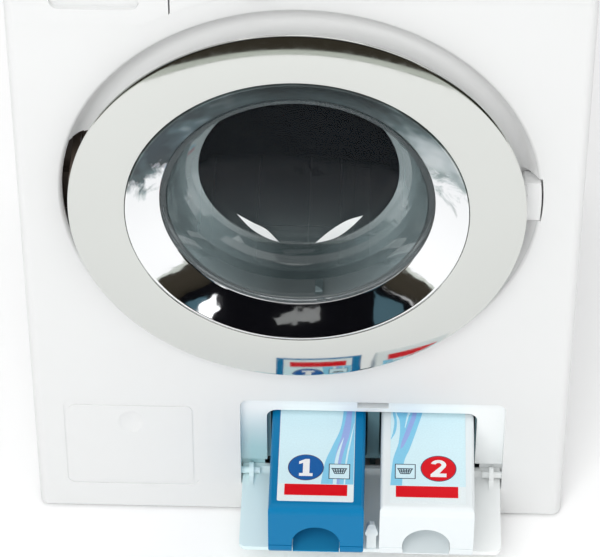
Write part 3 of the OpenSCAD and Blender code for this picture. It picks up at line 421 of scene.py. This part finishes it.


# painted light: the pocket carries a lighter copy of the panel white, and its left wall takes painted teal bounce light
M["pocket"] = plastic("white_pocket_painted_light", (0.93, 0.95, 0.95), 0.42, 0.012, 1400, 0.00002)
painted_teal_bounce(M["pocket"])
fpm = N["front_panel"].data
fpm.materials.clear()
fpm.materials.append(M["front"])
fpm.materials.append(M["white_dish"])
fpm.materials.append(M["pocket"])
# faces of the round recess and of the pocket take the painted-light copies of the panel white
for f in fpm.polygons:
    c = f.center * 1000
    yp = c.y + MY
    if 0.9 < yp < 8.6 and 58 < sqrt((c.x - RCX) ** 2 + (c.z - RCZ) ** 2) < 78.4:
        f.material_index = 1
    elif -21.5 < c.x < 71.5 and 12.8 < c.z < 56.2 and 0.3 < yp < 8.9:
        f.material_index = 2

# painted shade: the hinge arms and their pocket are coloured dark brown to stand for the dark hinge slot
N["door_frame"].data.materials.append(M["hinge_shade_brown"])
for f in N["door_frame"].data.polygons:
    c = f.center
    if c.x < -0.0735 and abs(c.z - 0.1498) < 0.0135:
        f.material_index = 1

# moulded edges on the CAD pieces
WIDE = {"front_panel": 0.5, "control_panel": 0.45, "top_lid": 0.7, "cabinet_shell": 0.5, "rear_cover": 0.5, "base_plate": 0.3,
        "detergent_drawer": 0.6, "door_frame": 0.4, "cartridge_flap": 0.35, "cartridge_1_body": 0.8, "cartridge_2_body": 0.8,
        "drum": 0.35, "tub": 0.4, "feet": 0.3, "battery_door": 0.3, "selector_knob": 0.25}
for n in NODE_MAT:
    polish(n, WIDE.get(n, 0.15))

# ------------------------------------------------------------------ door: ring, funnel, bowl
RI = 55.8


def crown(r):
    return -8.85 + (r - 59.94) ** 2 / 159.5


n_face = 34
ring_face = [(RI + 0.9 + (73.85 - RI - 0.9) * k / n_face, crown(RI + 0.9 + (73.85 - RI - 0.9) * k / n_face)) for k in range(n_face + 1)]
ring_prof = [(RI + 0.15, -6.5), (RI + 0.12, -8.0), (RI + 0.16, -8.3), (RI + 0.3, crown(RI + 0.3) + 0.12), (RI + 0.55, crown(RI + 0.55) + 0.01)]
ring_prof += ring_face
ring_prof += [(74.15, crown(74.15) + 0.04), (74.36, crown(74.36) + 0.13), (74.48, crown(74.48) + 0.3), (74.5, -7.05), (74.42, -6.9), (74.1, -6.8), (62.5, -6.8), (62.0, -6.5)]
ring = lathe("chrome_ring", ring_prof, 320)
ring.data.materials.append(M["chrome"])
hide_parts("door_ring")
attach(ring, "door")

cone_prof = [(RI + 0.05, -7.0), (RI + 0.05, -8.35), (RI - 0.02, -8.62), (RI - 0.16, -8.78), (RI - 0.38, -8.82)]
for k in range(1, 25):
    t = k / 24
    rr = (RI - 0.38) + (45.35 - (RI - 0.38)) * t
    cone_prof.append((rr, -8.82 + (-3.05 + 8.82) * t + 0.16 * sin(pi * t)))
cone_prof += [(45.05, -2.9), (44.8, -2.68), (44.72, -2.4), (44.7, -1.0), (45.7, -1.0), (45.9, -1.9), (54.3, -6.7)]
cone = lathe("chrome_funnel", cone_prof, 320)
cone.data.materials.append(M["funnel"])
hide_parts("window_cone")
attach(cone, "door")


def clear_mat(name, tint, alpha, rough=0.02, bumpd=0.00004, gloss=1.0):
    """clear moulding: thin tinted body, fresnel gloss on top"""
    m, nt, b = new_mat(name)
    out = nt.nodes["Material Output"]
    b.inputs["Base Color"].default_value = tuple(tint) + (1,)
    b.inputs["Roughness"].default_value = rough
    b.inputs["IOR"].default_value = 1.5
    b.inputs["Alpha"].default_value = alpha
    n1, c = noise(nt, 22, 2)
    q = maprange(nt, n1.outputs["Fac"], 0.3, 0.7, rough, rough * 2.2 + 0.01)
    nt.links.new(q.outputs[0], b.inputs["Roughness"])
    bump(nt, b, n1.outputs["Fac"], 0.3, bumpd)
    g = nt.nodes.new("ShaderNodeBsdfGlossy")
    g.inputs["Roughness"].default_value = 0.03
    g.inputs["Color"].default_value = (gloss, gloss, gloss, 1)
    f = nt.nodes.new("ShaderNodeFresnel")
    f.inputs["IOR"].default_value = 1.5
    mix = nt.nodes.new("ShaderNodeMixShader")
    nt.links.new(f.outputs[0], mix.inputs[0])
    nt.links.new(b.outputs[0], mix.inputs[1])
    nt.links.new(g.outputs[0], mix.inputs[2])
    nt.links.new(mix.outputs[0], out.inputs["Surface"])
    return m


M["bowl_wall"] = clear_mat("bowl_wall_clear", (0.36, 0.47, 0.485), 0.44, bumpd=0.00001)
# painted light through the window: the wall's colour runs from dark at the middle to pale towards the sides
nt_w = M["bowl_wall"].node_tree
cw = nt_w.nodes.new("ShaderNodeTexCoord")
sw = nt_w.nodes.new("ShaderNodeSeparateXYZ")
nt_w.links.new(cw.outputs["Object"], sw.inputs[0])
aw = nt_w.nodes.new("ShaderNodeMath")
aw.operation = "ABSOLUTE"
nt_w.links.new(sw.outputs["X"], aw.inputs[0])
mw = maprange(nt_w, aw.outputs[0], 0.006, 0.034, 0, 1)
rw = ramp(nt_w, mw.outputs[0], [(0.0, (0.085, 0.115, 0.12, 1)), (0.45, (0.20, 0.26, 0.27, 1)), (1.0, (0.42, 0.54, 0.56, 1))])
nt_w.links.new(rw.outputs["Color"], nt_w.nodes["Principled BSDF"].inputs["Base Color"])
M["bowl_rim"] = clear_mat("bowl_rim_clear", (0.17, 0.22, 0.235), 0.25, bumpd=0.00001, gloss=0.6)
M["bowl_rear"] = clear_mat("bowl_rear_clear", (0.05, 0.065, 0.075), 0.10, bumpd=0.00001, gloss=0.05)
# painted light on the rear window: dark towards the top, paler and less clear towards the bottom
nt_r = M["bowl_rear"].node_tree
cr = nt_r.nodes.new("ShaderNodeTexCoord")
sr = nt_r.nodes.new("ShaderNodeSeparateXYZ")
nt_r.links.new(cr.outputs["Object"], sr.inputs[0])
mr = maprange(nt_r, sr.outputs["Z"], 0.145, 0.117, 0, 1)
rr_ = ramp(nt_r, mr.outputs[0], [(0.0, (0.03, 0.045, 0.06, 1)), (0.5, (0.09, 0.12, 0.135, 1)), (1.0, (0.24, 0.31, 0.32, 1))])
nt_r.links.new(rr_.outputs["Color"], nt_r.nodes["Principled BSDF"].inputs["Base Color"])
ar = maprange(nt_r, mr.outputs[0], 0, 1, 0.10, 0.22)
nt_r.links.new(ar.outputs[0], nt_r.nodes["Principled BSDF"].inputs["Alpha"])
bowl_prof = [(0.0, 16.65), (12, 16.55), (22, 16.25), (30, 15.95), (33.7, 15.6), (36.4, 14.95), (38.7, 13.7), (40.3, 12.1), (41.4, 9.85),
    (43.0, 5.2), (44.4, 0.65), (49.8, 0.65), (49.8, -0.95), (44.6, -0.95), (44.6, -2.1), (44.3, -2.42), (43.1, -2.42), (42.75, -2.1),
    (41.6, 3.75), (40.5, 8.0), (39.1, 10.6), (37.3, 12.4), (35.2, 13.55), (33.0, 14.15), (26, 14.5), (14, 14.75), (0.0, 14.85)]
bowl = lathe("clear_bowl", smooth_corners(bowl_prof, 1.2, 4, closed=False), 224, closed=False)
bowl.data.materials.append(M["bowl_wall"])
bowl.data.materials.append(M["bowl_rear"])
bowl.data.materials.append(M["bowl_rim"])
for f in bowl.data.polygons:
    c = f.center
    rr = sqrt((c.x * 1000 - DX) ** 2 + (c.z * 1000 - DZ) ** 2)
    f.material_index = 1 if rr < 33.6 else (2 if c.y * 1000 + MY < 0.0 else 0)
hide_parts("window_bowl")
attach(bowl, "door")


def smooth_curve(pts, n=8):
    """Catmull-Rom through the points"""
    out = []
    q = [pts[0]] + list(pts) + [pts[-1]]
    for i in range(1, len(q) - 2):
        a, b, c, d = (Vector(v) for v in q[i - 1:i + 3])
        for k in range(n):
            t = k / n
            out.append(tuple(0.5 * ((2 * b) + (c - a) * t + (2 * a - 5 * b + 4 * c - d) * t * t + (3 * b - a - 3 * c + d) * t ** 3)))
    out.append(tuple(pts[-1]))
    return out


def plate(name, outline, yp, mat, body, thick=0.05):
    """thin piece facing the front; outline in x and z"""
    bm = bmesh.new()
    for ol in outline:
        f = bm.faces.new([bm.verts.new(P(x, yp, z)) for x, z in ol])
        f.normal_update()
        if f.normal.y > 0:
            f.normal_flip()
    bmesh.ops.triangulate(bm, faces=bm.faces)
    me = bpy.data.meshes.new(name)
    bm.to_mesh(me)
    bm.free()
    o = link(bpy.data.objects.new(name, me))
    o.data.materials.append(mat)
    so = o.modifiers.new("body", "SOLIDIFY")
    so.thickness = thick / 1000
    so.offset = -1
    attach(o, body)
    return o


# moulded fill line, two painted glints (pale crescent patches that stand for highlights) at the foot of the rear
# window, and the gate stub on its wall
M["fill_line"] = plastic("fill_line", (0.035, 0.045, 0.05), 0.3, 0.1)
# painted highlight: near-white glossy patches for the two glints
M["facet"], glint_nt, glint_b = new_mat("polished_facet")
glint_noise, glint_coord = noise(glint_nt, 90, 3)
glint_ramp = ramp(glint_nt, glint_noise.outputs["Fac"], [(0.3, (0.80, 0.83, 0.83, 1)), (0.7, (0.93, 0.95, 0.95, 1))])
glint_nt.links.new(glint_ramp.outputs["Color"], glint_b.inputs["Base Color"])
glint_b.inputs["Roughness"].default_value = 0.12
glint_b.inputs["Coat Weight"].default_value = 0.6
bump(glint_nt, glint_b, glint_noise.outputs["Fac"], 0.2, 0.00002)
plate("fill_line", [[(-18.3, 124.2), (12.8, 124.2), (12.8, 124.5), (-18.3, 124.5)]], 14.4, M["fill_line"], "door")


def crescent(pts_low, pts_high):
    lo = [(v[0], v[1]) for v in smooth_curve([(a, b, 0) for a, b in pts_low], 6)]
    hi = [(v[0], v[1]) for v in smooth_curve([(a, b, 0) for a, b in pts_high], 6)]
    return lo + hi[::-1][1:-1]


plate("facet_left", [crescent([(-21.4, 129.6), (-17.0, 123.4), (-12.2, 119.4), (-7.4, 117.1)], [(-21.4, 129.6), (-16.4, 126.0), (-11.6, 122.8), (-7.4, 117.1)])], 13.95, M["facet"], "door")
plate("facet_right", [crescent([(20.6, 130.0), (15.8, 123.6), (11.0, 119.4), (4.6, 117.0)], [(20.6, 130.0), (15.2, 127.6), (9.6, 122.8), (4.6, 117.0)])], 13.95, M["facet"], "door")


def block(name, x0, x1, y0, y1, z0, z1, mat, body, bev=0.25):
    me = bpy.data.meshes.new(name)
    bm = bmesh.new()
    vs = [bm.verts.new(P(x, y, z)) for x in (x0, x1) for y in (y0, y1) for z in (z0, z1)]
    for q in ((0, 1, 3, 2), (4, 6, 7, 5), (0, 4, 5, 1), (2, 3, 7, 6), (0, 2, 6, 4), (1, 5, 7, 3)):
        bm.faces.new([vs[i] for i in q])
    bmesh.ops.recalc_face_normals(bm, faces=bm.faces)
    bm.to_mesh(me)
    bm.free()
    o = link(bpy.data.objects.new(name, me))
    o.data.materials.append(mat)
    b = o.modifiers.new("edges", "BEVEL")
    b.width, b.segments = bev / 1000, 3
    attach(o, body)
    return o


M["gate"] = plastic("gate_stub", (0.16, 0.21, 0.22), 0.2, 0.05, 600, 0.00001)
block("gate_stub", 5.0, 7.6, -0.4, 5.6, 106.9, 108.6, M["gate"], "door", 0.3)

# floor of each cartridge's finger recess; the blue floor carries a lighter copy of the cartridge blue, painted light
M["blue_deep"] = plastic("blue_recess_painted_light", (0.02, 0.27, 0.50), 0.45, 0.05, 1200, 0.00003, spec=0.2)
block("cartridge_1_recess_floor", -1.4, 14.5, -39.7, -26.0, 22.45, 22.9, M["blue_deep"], "cartridge_1", 0.1)
block("cartridge_2_recess_floor", 36.3, 52.2, -39.7, -26.0, 22.45, 22.9, M["cart_white"], "cartridge_2", 0.1)


# ------------------------------------------------------------------ prints on the cartridges
def flat_print(name, outlines, z, mat, body, thick=0.012):
    """thin printed patches lying on the label; outlines in x and yp"""
    bm = bmesh.new()
    for ol in outlines:
        vs = [bm.verts.new(P(x, y, z)) for x, y in ol]
        f = bm.faces.new(vs)
        f.normal_update()
        if f.normal.z < 0:
            f.normal_flip()
    bmesh.ops.triangulate(bm, faces=bm.faces)
    me = bpy.data.meshes.new(name)
    bm.to_mesh(me)
    bm.free()
    o = link(bpy.data.objects.new(name, me))
    o.data.materials.append(mat)
    so = o.modifiers.new("ink", "SOLIDIFY")
    so.thickness = thick / 1000
    so.offset = -1
    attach(o, body)
    return o


def ring_outline(cx, cy, rx, ry, n=72):
    return [(cx + rx * cos(2 * pi * i / n), cy + ry * sin(2 * pi * i / n)) for i in range(n)]


def frame_bars(x0, x1, y0, y1, w):
    return [[(x0, y0), (x1, y0), (x1, y0 + w), (x0, y0 + w)], [(x0, y1 - w), (x1, y1 - w), (x1, y1), (x0, y1)],
            [(x0, y0 + w), (x0 + w, y0 + w), (x0 + w, y1 - w), (x0, y1 - w)], [(x1 - w, y0 + w), (x1, y0 + w), (x1, y1 - w), (x1 - w, y1 - w)]]


def ink(name, col, rough=0.42):
    m, nt, b = new_mat(name)
    f, c = noise(nt, 1600, 2, 0.6)
    r = ramp(nt, f.outputs["Fac"], [(0.35, tuple(x * 0.955 for x in col) + (1,)), (0.65, tuple(col) + (1,))])
    nt.links.new(r.outputs["Color"], b.inputs["Base Color"])
    b.inputs["Roughness"].default_value = rough
    b.inputs["Specular IOR Level"].default_value = 0.2
    bump(nt, b, f.outputs["Fac"], 0.15, 0.00001)
    return m


INK = {"sky": ink("print_sky", (0.67, 0.87, 0.93)), "white": ink("print_white", (0.80, 0.87, 0.89)), "ribbon": ink("print_ribbon", (0.24, 0.60, 0.82)),
       "deep": ink("print_ribbon_deep", (0.16, 0.50, 0.80)), "violet": ink("print_violet", (0.33, 0.43, 0.78)), "pale": ink("print_pale", (0.66, 0.86, 0.93)),
       "blue": ink("print_blue", (0.006, 0.105, 0.36)), "red": ink("print_red", (0.70, 0.001, 0.009)), "rim": ink("print_rim", (0.06, 0.05, 0.12)),
       "line": ink("print_line", (0.02, 0.045, 0.08)), "paper": ink("print_paper", (0.86, 0.87, 0.88))}


def wiggle(rng):
    return smooth_curve([(a, b, 0) for a, b in rng], 8)


def band(left, right):
    l = [(v[0], v[1]) for v in wiggle(left)]
    r = [(v[0], v[1]) for v in wiggle(right)]
    return l + r[::-1]


def numeral(cx, cy, which, h):
    """plain bold figures 1 and 2 built from straight and curved pieces, h tall"""
    k = h / 10.0
    if which == 1:
        pts = [(-2.9, -5), (2.9, -5), (2.9, -3.3), (1.5, -3.3), (1.5, 5), (-0.3, 5), (-3.0, 3.5), (-3.0, 1.9), (-1.3, 2.6), (-1.3, -3.3), (-2.9, -3.3)]
        return [[(cx + k * x, cy + k * y) for x, y in pts]]
    out, n = [], 14
    oc, ic = (0.0, 2.1), (0.0, 2.1)
    outer = [(oc[0] + 3.3 * cos(radians(a)), oc[1] + 2.9 * sin(radians(a))) for a in [168 - 208 * i / n for i in range(n + 1)]]
    inner = [(ic[0] + 1.25 * cos(radians(a)), ic[1] + 1.15 * sin(radians(a))) for a in [168 - 208 * i / n for i in range(n + 1)]]
    strip = outer + [(0.3, -2.9), (3.4, -2.9), (3.4, -5.0), (-3.4, -5.0), (-3.4, -3.4), (-0.9, -0.9)] + inner[::-1]
    # two convex-friendly parts keep the fill clean
    top = outer + inner[::-1]
    low = [inner[-1], outer[-1], (0.4, -2.9), (3.4, -2.9), (3.4, -5.0), (-3.4, -5.0), (-3.4, -3.5)]
    return [[(cx + k * x, cy + k * y) for x, y in top], [(cx + k * x, cy + k * y) for x, y in low]]


def basket(cx, cy, s):
    """little wash-basket sign: rim, sides and grid"""
    out = [[(cx - 2.4 * s, cy + 0.75 * s), (cx + 2.4 * s, cy + 0.75 * s), (cx + 2.4 * s, cy + 1.15 * s), (cx - 2.4 * s, cy + 1.15 * s)]]
    out.append([(cx - 1.5 * s, cy - 1.25 * s), (cx + 1.5 * s, cy - 1.25 * s), (cx + 1.55 * s, cy - 0.95 * s), (cx - 1.55 * s, cy - 0.95 * s)])
    for i in range(6):
        t = -1 + 2 * i / 5
        out.append([(cx + (1.45 * t - 0.16) * s, cy - 0.97 * s), (cx + (1.45 * t + 0.16) * s, cy - 0.97 * s), (cx + (2.05 * t + 0.16) * s, cy + 0.77 * s), (cx + (2.05 * t - 0.16) * s, cy + 0.77 * s)])
    for j in (0, 1):
        y = cy + (-0.42 + 0.6 * j) * s
        w = 1.72 + 0.2 * j
        out.append([(cx - w * s, y), (cx + w * s, y), (cx + w * s, y + 0.26 * s), (cx - w * s, y + 0.26 * s)])
    return out


ZL = 45.62
B1, B2 = "cartridge_1", "cartridge_2"
# cartridge 1
flat_print("label_1_sky", [[(-6.7, -29.6), (19.1, -29.6), (19.1, 32.9), (-6.7, 32.9)]], ZL + 0.012, INK["sky"], B1)
flat_print("label_1_foot", [[(-6.7, -37.5), (19.1, -37.5), (19.1, -29.6), (-6.7, -29.6)]], ZL + 0.012, INK["white"], B1)
L1L = [(16.2, 32.9), (15.9, 20), (15.2, 8), (14.2, -2.9), (11.5, -11.6), (9.2, -19.2), (7.9, -29.5)]
L1R = [(19.0, 32.9), (19.0, 20), (19.0, 8), (19.0, -2.9), (19.0, -11.6), (19.0, -19.2), (19.0, -29.5)]
flat_print("label_1_ribbon", [band(L1L, L1R)], ZL + 0.024, INK["ribbon"], B1)
flat_print("label_1_streaks", [band([(16.6, 30), (16.4, 8), (14.9, -5), (13.2, -13), (12.2, -21), (11.9, -29.5)], [(18.0, 30), (18.1, 8), (17.4, -5), (15.9, -12), (14.6, -20), (14.3, -29.5)])], ZL + 0.036, INK["violet"], B1)
flat_print("label_1_light", [band([(15.3, -7.5), (13.2, -14.4), (12.3, -21.0), (12.0, -29.5)], [(15.4, -7.5), (14.2, -14.4), (13.5, -21.0), (13.3, -29.5)]),
                            band([(18.8, -0.5), (17.4, -9), (16.2, -18), (15.7, -29.5)], [(18.95, -0.5), (17.9, -9), (16.8, -18), (16.2, -29.5)])], ZL + 0.048, INK["pale"], B1)
flat_print("label_1_bar", [[(-4.4, -34.9), (17.0, -34.9), (17.0, -29.75), (-4.4, -29.75)]], ZL + 0.060, INK["red"], B1)
flat_print("label_1_disc_rim", [ring_outline(2.65, -21.95, 6.15, 6.05)], ZL + 0.060, INK["rim"], B1)
flat_print("label_1_disc", [ring_outline(2.65, -21.95, 5.85, 5.75)], ZL + 0.072, INK["blue"], B1)
flat_print("label_1_figure", numeral(2.7, -22.0, 1, 8.0), ZL + 0.084, INK["paper"], B1)
flat_print("label_1_sign_ground", [[(10.6, -27.0), (17.7, -27.0), (17.7, -20.1), (10.6, -20.1)]], ZL + 0.060, INK["pale"], B1)
flat_print("label_1_sign", frame_bars(10.5, 17.8, -27.1, -20.0, 0.3) + basket(14.1, -23.3, 1.12), ZL + 0.072, INK["line"], B1)
# cartridge 2
flat_print("label_2_sky", [[(31.5, -29.5), (57.3, -29.5), (57.3, 32.9), (31.5, 32.9)]], ZL + 0.012, INK["sky"], B2)
flat_print("label_2_foot", [[(31.5, -37.5), (57.3, -37.5), (57.3, -29.5), (31.5, -29.5)]], ZL + 0.012, INK["white"], B2)
flat_print("label_2_ribbon", [band([(33.0, 32.9), (32.8, 20), (33.0, 7), (34.6, 0.6), (34.3, -9.0), (32.4, -17.6), (31.6, -29.4)],
                                   [(44.5, 32.9), (44.0, 20), (42.7, 7.1), (40.9, -1.2), (38.2, -11.8), (36.2, -18.5), (35.6, -29.4)]),
                              band([(31.6, 9), (32.2, 4.2), (32.7, 0.5), (32.3, -4), (31.6, -7.5)], [(32.5, 9), (33.2, 4.2), (33.6, 0.0), (33.1, -4.5), (31.65, -7.9)])], ZL + 0.024, INK["ribbon"], B2)
flat_print("label_2_streaks", [band([(39.4, 30), (39.2, 7.3), (37.3, -1.3), (35.4, -8.5), (34.9, -12)], [(41.4, 30), (40.7, 7.3), (38.6, -3.2), (36.2, -10.4), (35.0, -12.2)])], ZL + 0.036, INK["violet"], B2)
flat_print("label_2_light", [band([(37.6, 30), (37.4, 7), (37.0, 3.5), (36.3, -2.0)], [(38.8, 30), (38.3, 7), (37.7, 3.5), (36.5, -2.3)])], ZL + 0.048, INK["pale"], B2)
flat_print("label_2_bar", [[(33.5, -34.8), (54.7, -34.8), (54.7, -29.6), (33.5, -29.6)]], ZL + 0.060, INK["red"], B2)
flat_print("label_2_disc_rim", [ring_outline(48.0, -21.25, 6.15, 6.05)], ZL + 0.060, INK["rim"], B2)
flat_print("label_2_disc", [ring_outline(48.0, -21.25, 5.85, 5.75)], ZL + 0.072, INK["red"], B2)
flat_print("label_2_figure", numeral(48.0, -21.2, 2, 8.0), ZL + 0.084, INK["paper"], B2)
flat_print("label_2_sign_ground", [[(33.2, -26.2), (40.1, -26.2), (40.1, -19.5), (33.2, -19.5)]], ZL + 0.060, INK["pale"], B2)
flat_print("label_2_sign", frame_bars(33.1, 40.2, -26.3, -19.4, 0.3) + basket(36.6, -22.7, 1.12), ZL + 0.072, INK["line"], B2)

# ------------------------------------------------------------------ floor and lights
def plane(name, x0, x1, y0, y1, z, mat):
    me = bpy.data.meshes.new(name)
    me.from_pydata([(x0, y0, z), (x1, y0, z), (x1, y1, z), (x0, y1, z)], [], [(0, 1, 2, 3)])
    o = link(bpy.data.objects.new(name, me))
    o.data.materials.append(mat)
    return o


fm, fnt, fb = new_mat("floor_white")
fb.inputs["Base Color"].default_value = (0.96, 0.96, 0.96, 1)
fb.inputs["Roughness"].default_value = 0.6
fb.inputs["Specular IOR Level"].default_value = 0.2
floor = plane("floor", -4, 4, -4, 4, 0.0, fm)

def card(name, verts, faces, col, rough=0.9, emit=None):
    """studio card seen only in mirrors"""
    m, nt, b = new_mat(name)
    n1, c = noise(nt, 3.0, 2)
    r = ramp(nt, n1.outputs["Fac"], [(0.3, tuple(x * 0.85 for x in col) + (1,)), (0.7, tuple(col) + (1,))])
    nt.links.new(r.outputs["Color"], b.inputs["Base Color"])
    b.inputs["Roughness"].default_value = rough
    b.inputs["Specular IOR Level"].default_value = 0.0
    if emit:
        b.inputs["Emission Color"].default_value = tuple(emit[:3]) + (1,)
        b.inputs["Emission Strength"].default_value = emit[3]
    me = bpy.data.meshes.new(name)
    me.from_pydata([tuple(v) for v in verts], [], faces)
    o = link(bpy.data.objects.new(name, me))
    o.data.materials.append(m)
    o.visible_camera = False
    o.visible_diffuse = False
    o.visible_shadow = False
    o.visible_transmission = False
    return o


def quad(x0, x1, y0, y1, z):
    return [(x0, y0, z), (x1, y0, z), (x1, y1, z), (x0, y1, z)]


# the table the toy stands on ends about half a metre in front of it
card("table_edge_strip", quad(-1.4, 0.52, -0.527, -0.478, 0.0012), [(0, 1, 2, 3)], (0.55, 0.58, 0.53))
card("table_edge_line", quad(-1.4, 0.52, -0.478, -0.474, 0.0014), [(0, 1, 2, 3)], (0.16, 0.17, 0.14))
card("room_floor", [(-1.4, -2.6, 0.001), (2.6, -2.6, 0.001), (2.6, -0.2, 0.001), (0.52, -0.40, 0.001), (0.52, -0.527, 0.001), (-1.4, -0.527, 0.001)], [(0, 1, 2, 3, 4, 5)], (0.035, 0.030, 0.022))
card("table_side_strip", [(0.40, -0.25, 0.0011), (0.43, -0.25, 0.0011), (0.52, -0.527, 0.0011), (0.48, -0.527, 0.0011)], [(0, 1, 2, 3)], (0.33, 0.35, 0.31))
card("room_front", [(-2.4, -2.5, -0.3), (2.6, -2.5, -0.3), (2.6, -2.5, 1.15), (-2.4, -2.5, 1.15)], [(0, 1, 2, 3)], (0.006, 0.006, 0.008))
card("room_right", [(2.6, -2.5, -0.3), (3.0, 0.4, -0.3), (3.0, 0.4, 0.7), (2.6, -2.5, 1.15)], [(0, 1, 2, 3)], (0.008, 0.010, 0.014))
card("room_left", [(-2.4, -2.5, -0.3), (-2.6, -0.6, -0.3), (-2.6, -0.6, 0.7), (-2.4, -2.5, 0.9)], [(0, 1, 2, 3)], (0.30, 0.30, 0.29), emit=(0.8, 0.85, 0.83, 0.34))
card("room_left_glow", [(-1.75, -2.4, 0.12), (-1.25, -2.45, 0.12), (-1.25, -2.45, 0.62), (-1.75, -2.4, 0.55)], [(0, 1, 2, 3)], (0.03, 0.05, 0.06), emit=(0.10, 0.20, 0.25, 0.45))
card("room_lamp", [(1.15, -2.4, 0.20), (1.45, -2.4, 0.28), (1.40, -2.4, 0.58), (1.08, -2.4, 0.44)], [(0, 1, 2, 3)], (0.5, 0.5, 0.5), emit=(1, 1, 1, 1.4))
card("room_blue", [(1.3, -2.44, 0.15), (2.0, -2.44, 0.15), (1.9, -2.44, 0.75), (1.3, -2.44, 0.6)], [(0, 1, 2, 3)], (0.03, 0.05, 0.06), emit=(0.08, 0.17, 0.22, 0.6))
card("room_window", [(-0.38, -2.4, 0.55), (0.28, -2.4, 0.66), (0.22, -2.4, 0.80), (-0.36, -2.4, 0.70)], [(0, 1, 2, 3)], (0.2, 0.2, 0.2), emit=(0.9, 0.95, 0.9, 0.09))

w = bpy.data.worlds.new("soft_studio")
w.use_nodes = True
w.node_tree.nodes["Background"].inputs["Color"].default_value = (1.0, 1.0, 1.0, 1)
w.node_tree.nodes["Background"].inputs["Strength"].default_value = 0.53
bpy.context.scene.world = w


def area(name, loc, target, size, power, color=(1, 1, 1), size_y=None):
    l = bpy.data.lights.new(name, "AREA")
    l.shape = "RECTANGLE" if size_y else "SQUARE"
    l.size = size
    if size_y:
        l.size_y = size_y
    l.energy = power
    l.color = color
    o = link(bpy.data.objects.new(name, l))
    o.location = loc
    d = Vector(target) - Vector(loc)
    o.rotation_euler = d.to_track_quat("-Z", "Y").to_euler()
    return o


key = area("key_soft", (-0.28, -1.35, 1.30), (0, 0, 0.12), 1.0, 17.5)
key.visible_glossy = False
area("fill_soft", (1.1, -1.2, 1.2), (0, 0, 0.1), 1.2, 2.0)
area("top_soft", (0.0, 0.3, 1.9), (0, 0, 0.1), 1.8, 13)

sc = bpy.context.scene
sc.view_settings.view_transform = "Standard"
sc.view_settings.look = "None"
sc.view_settings.exposure = 0.0
sc.cycles.max_bounces = 10
sc.cycles.transparent_max_bounces = 12
sc.cycles.caustics_reflective = False
sc.cycles.caustics_refractive = False
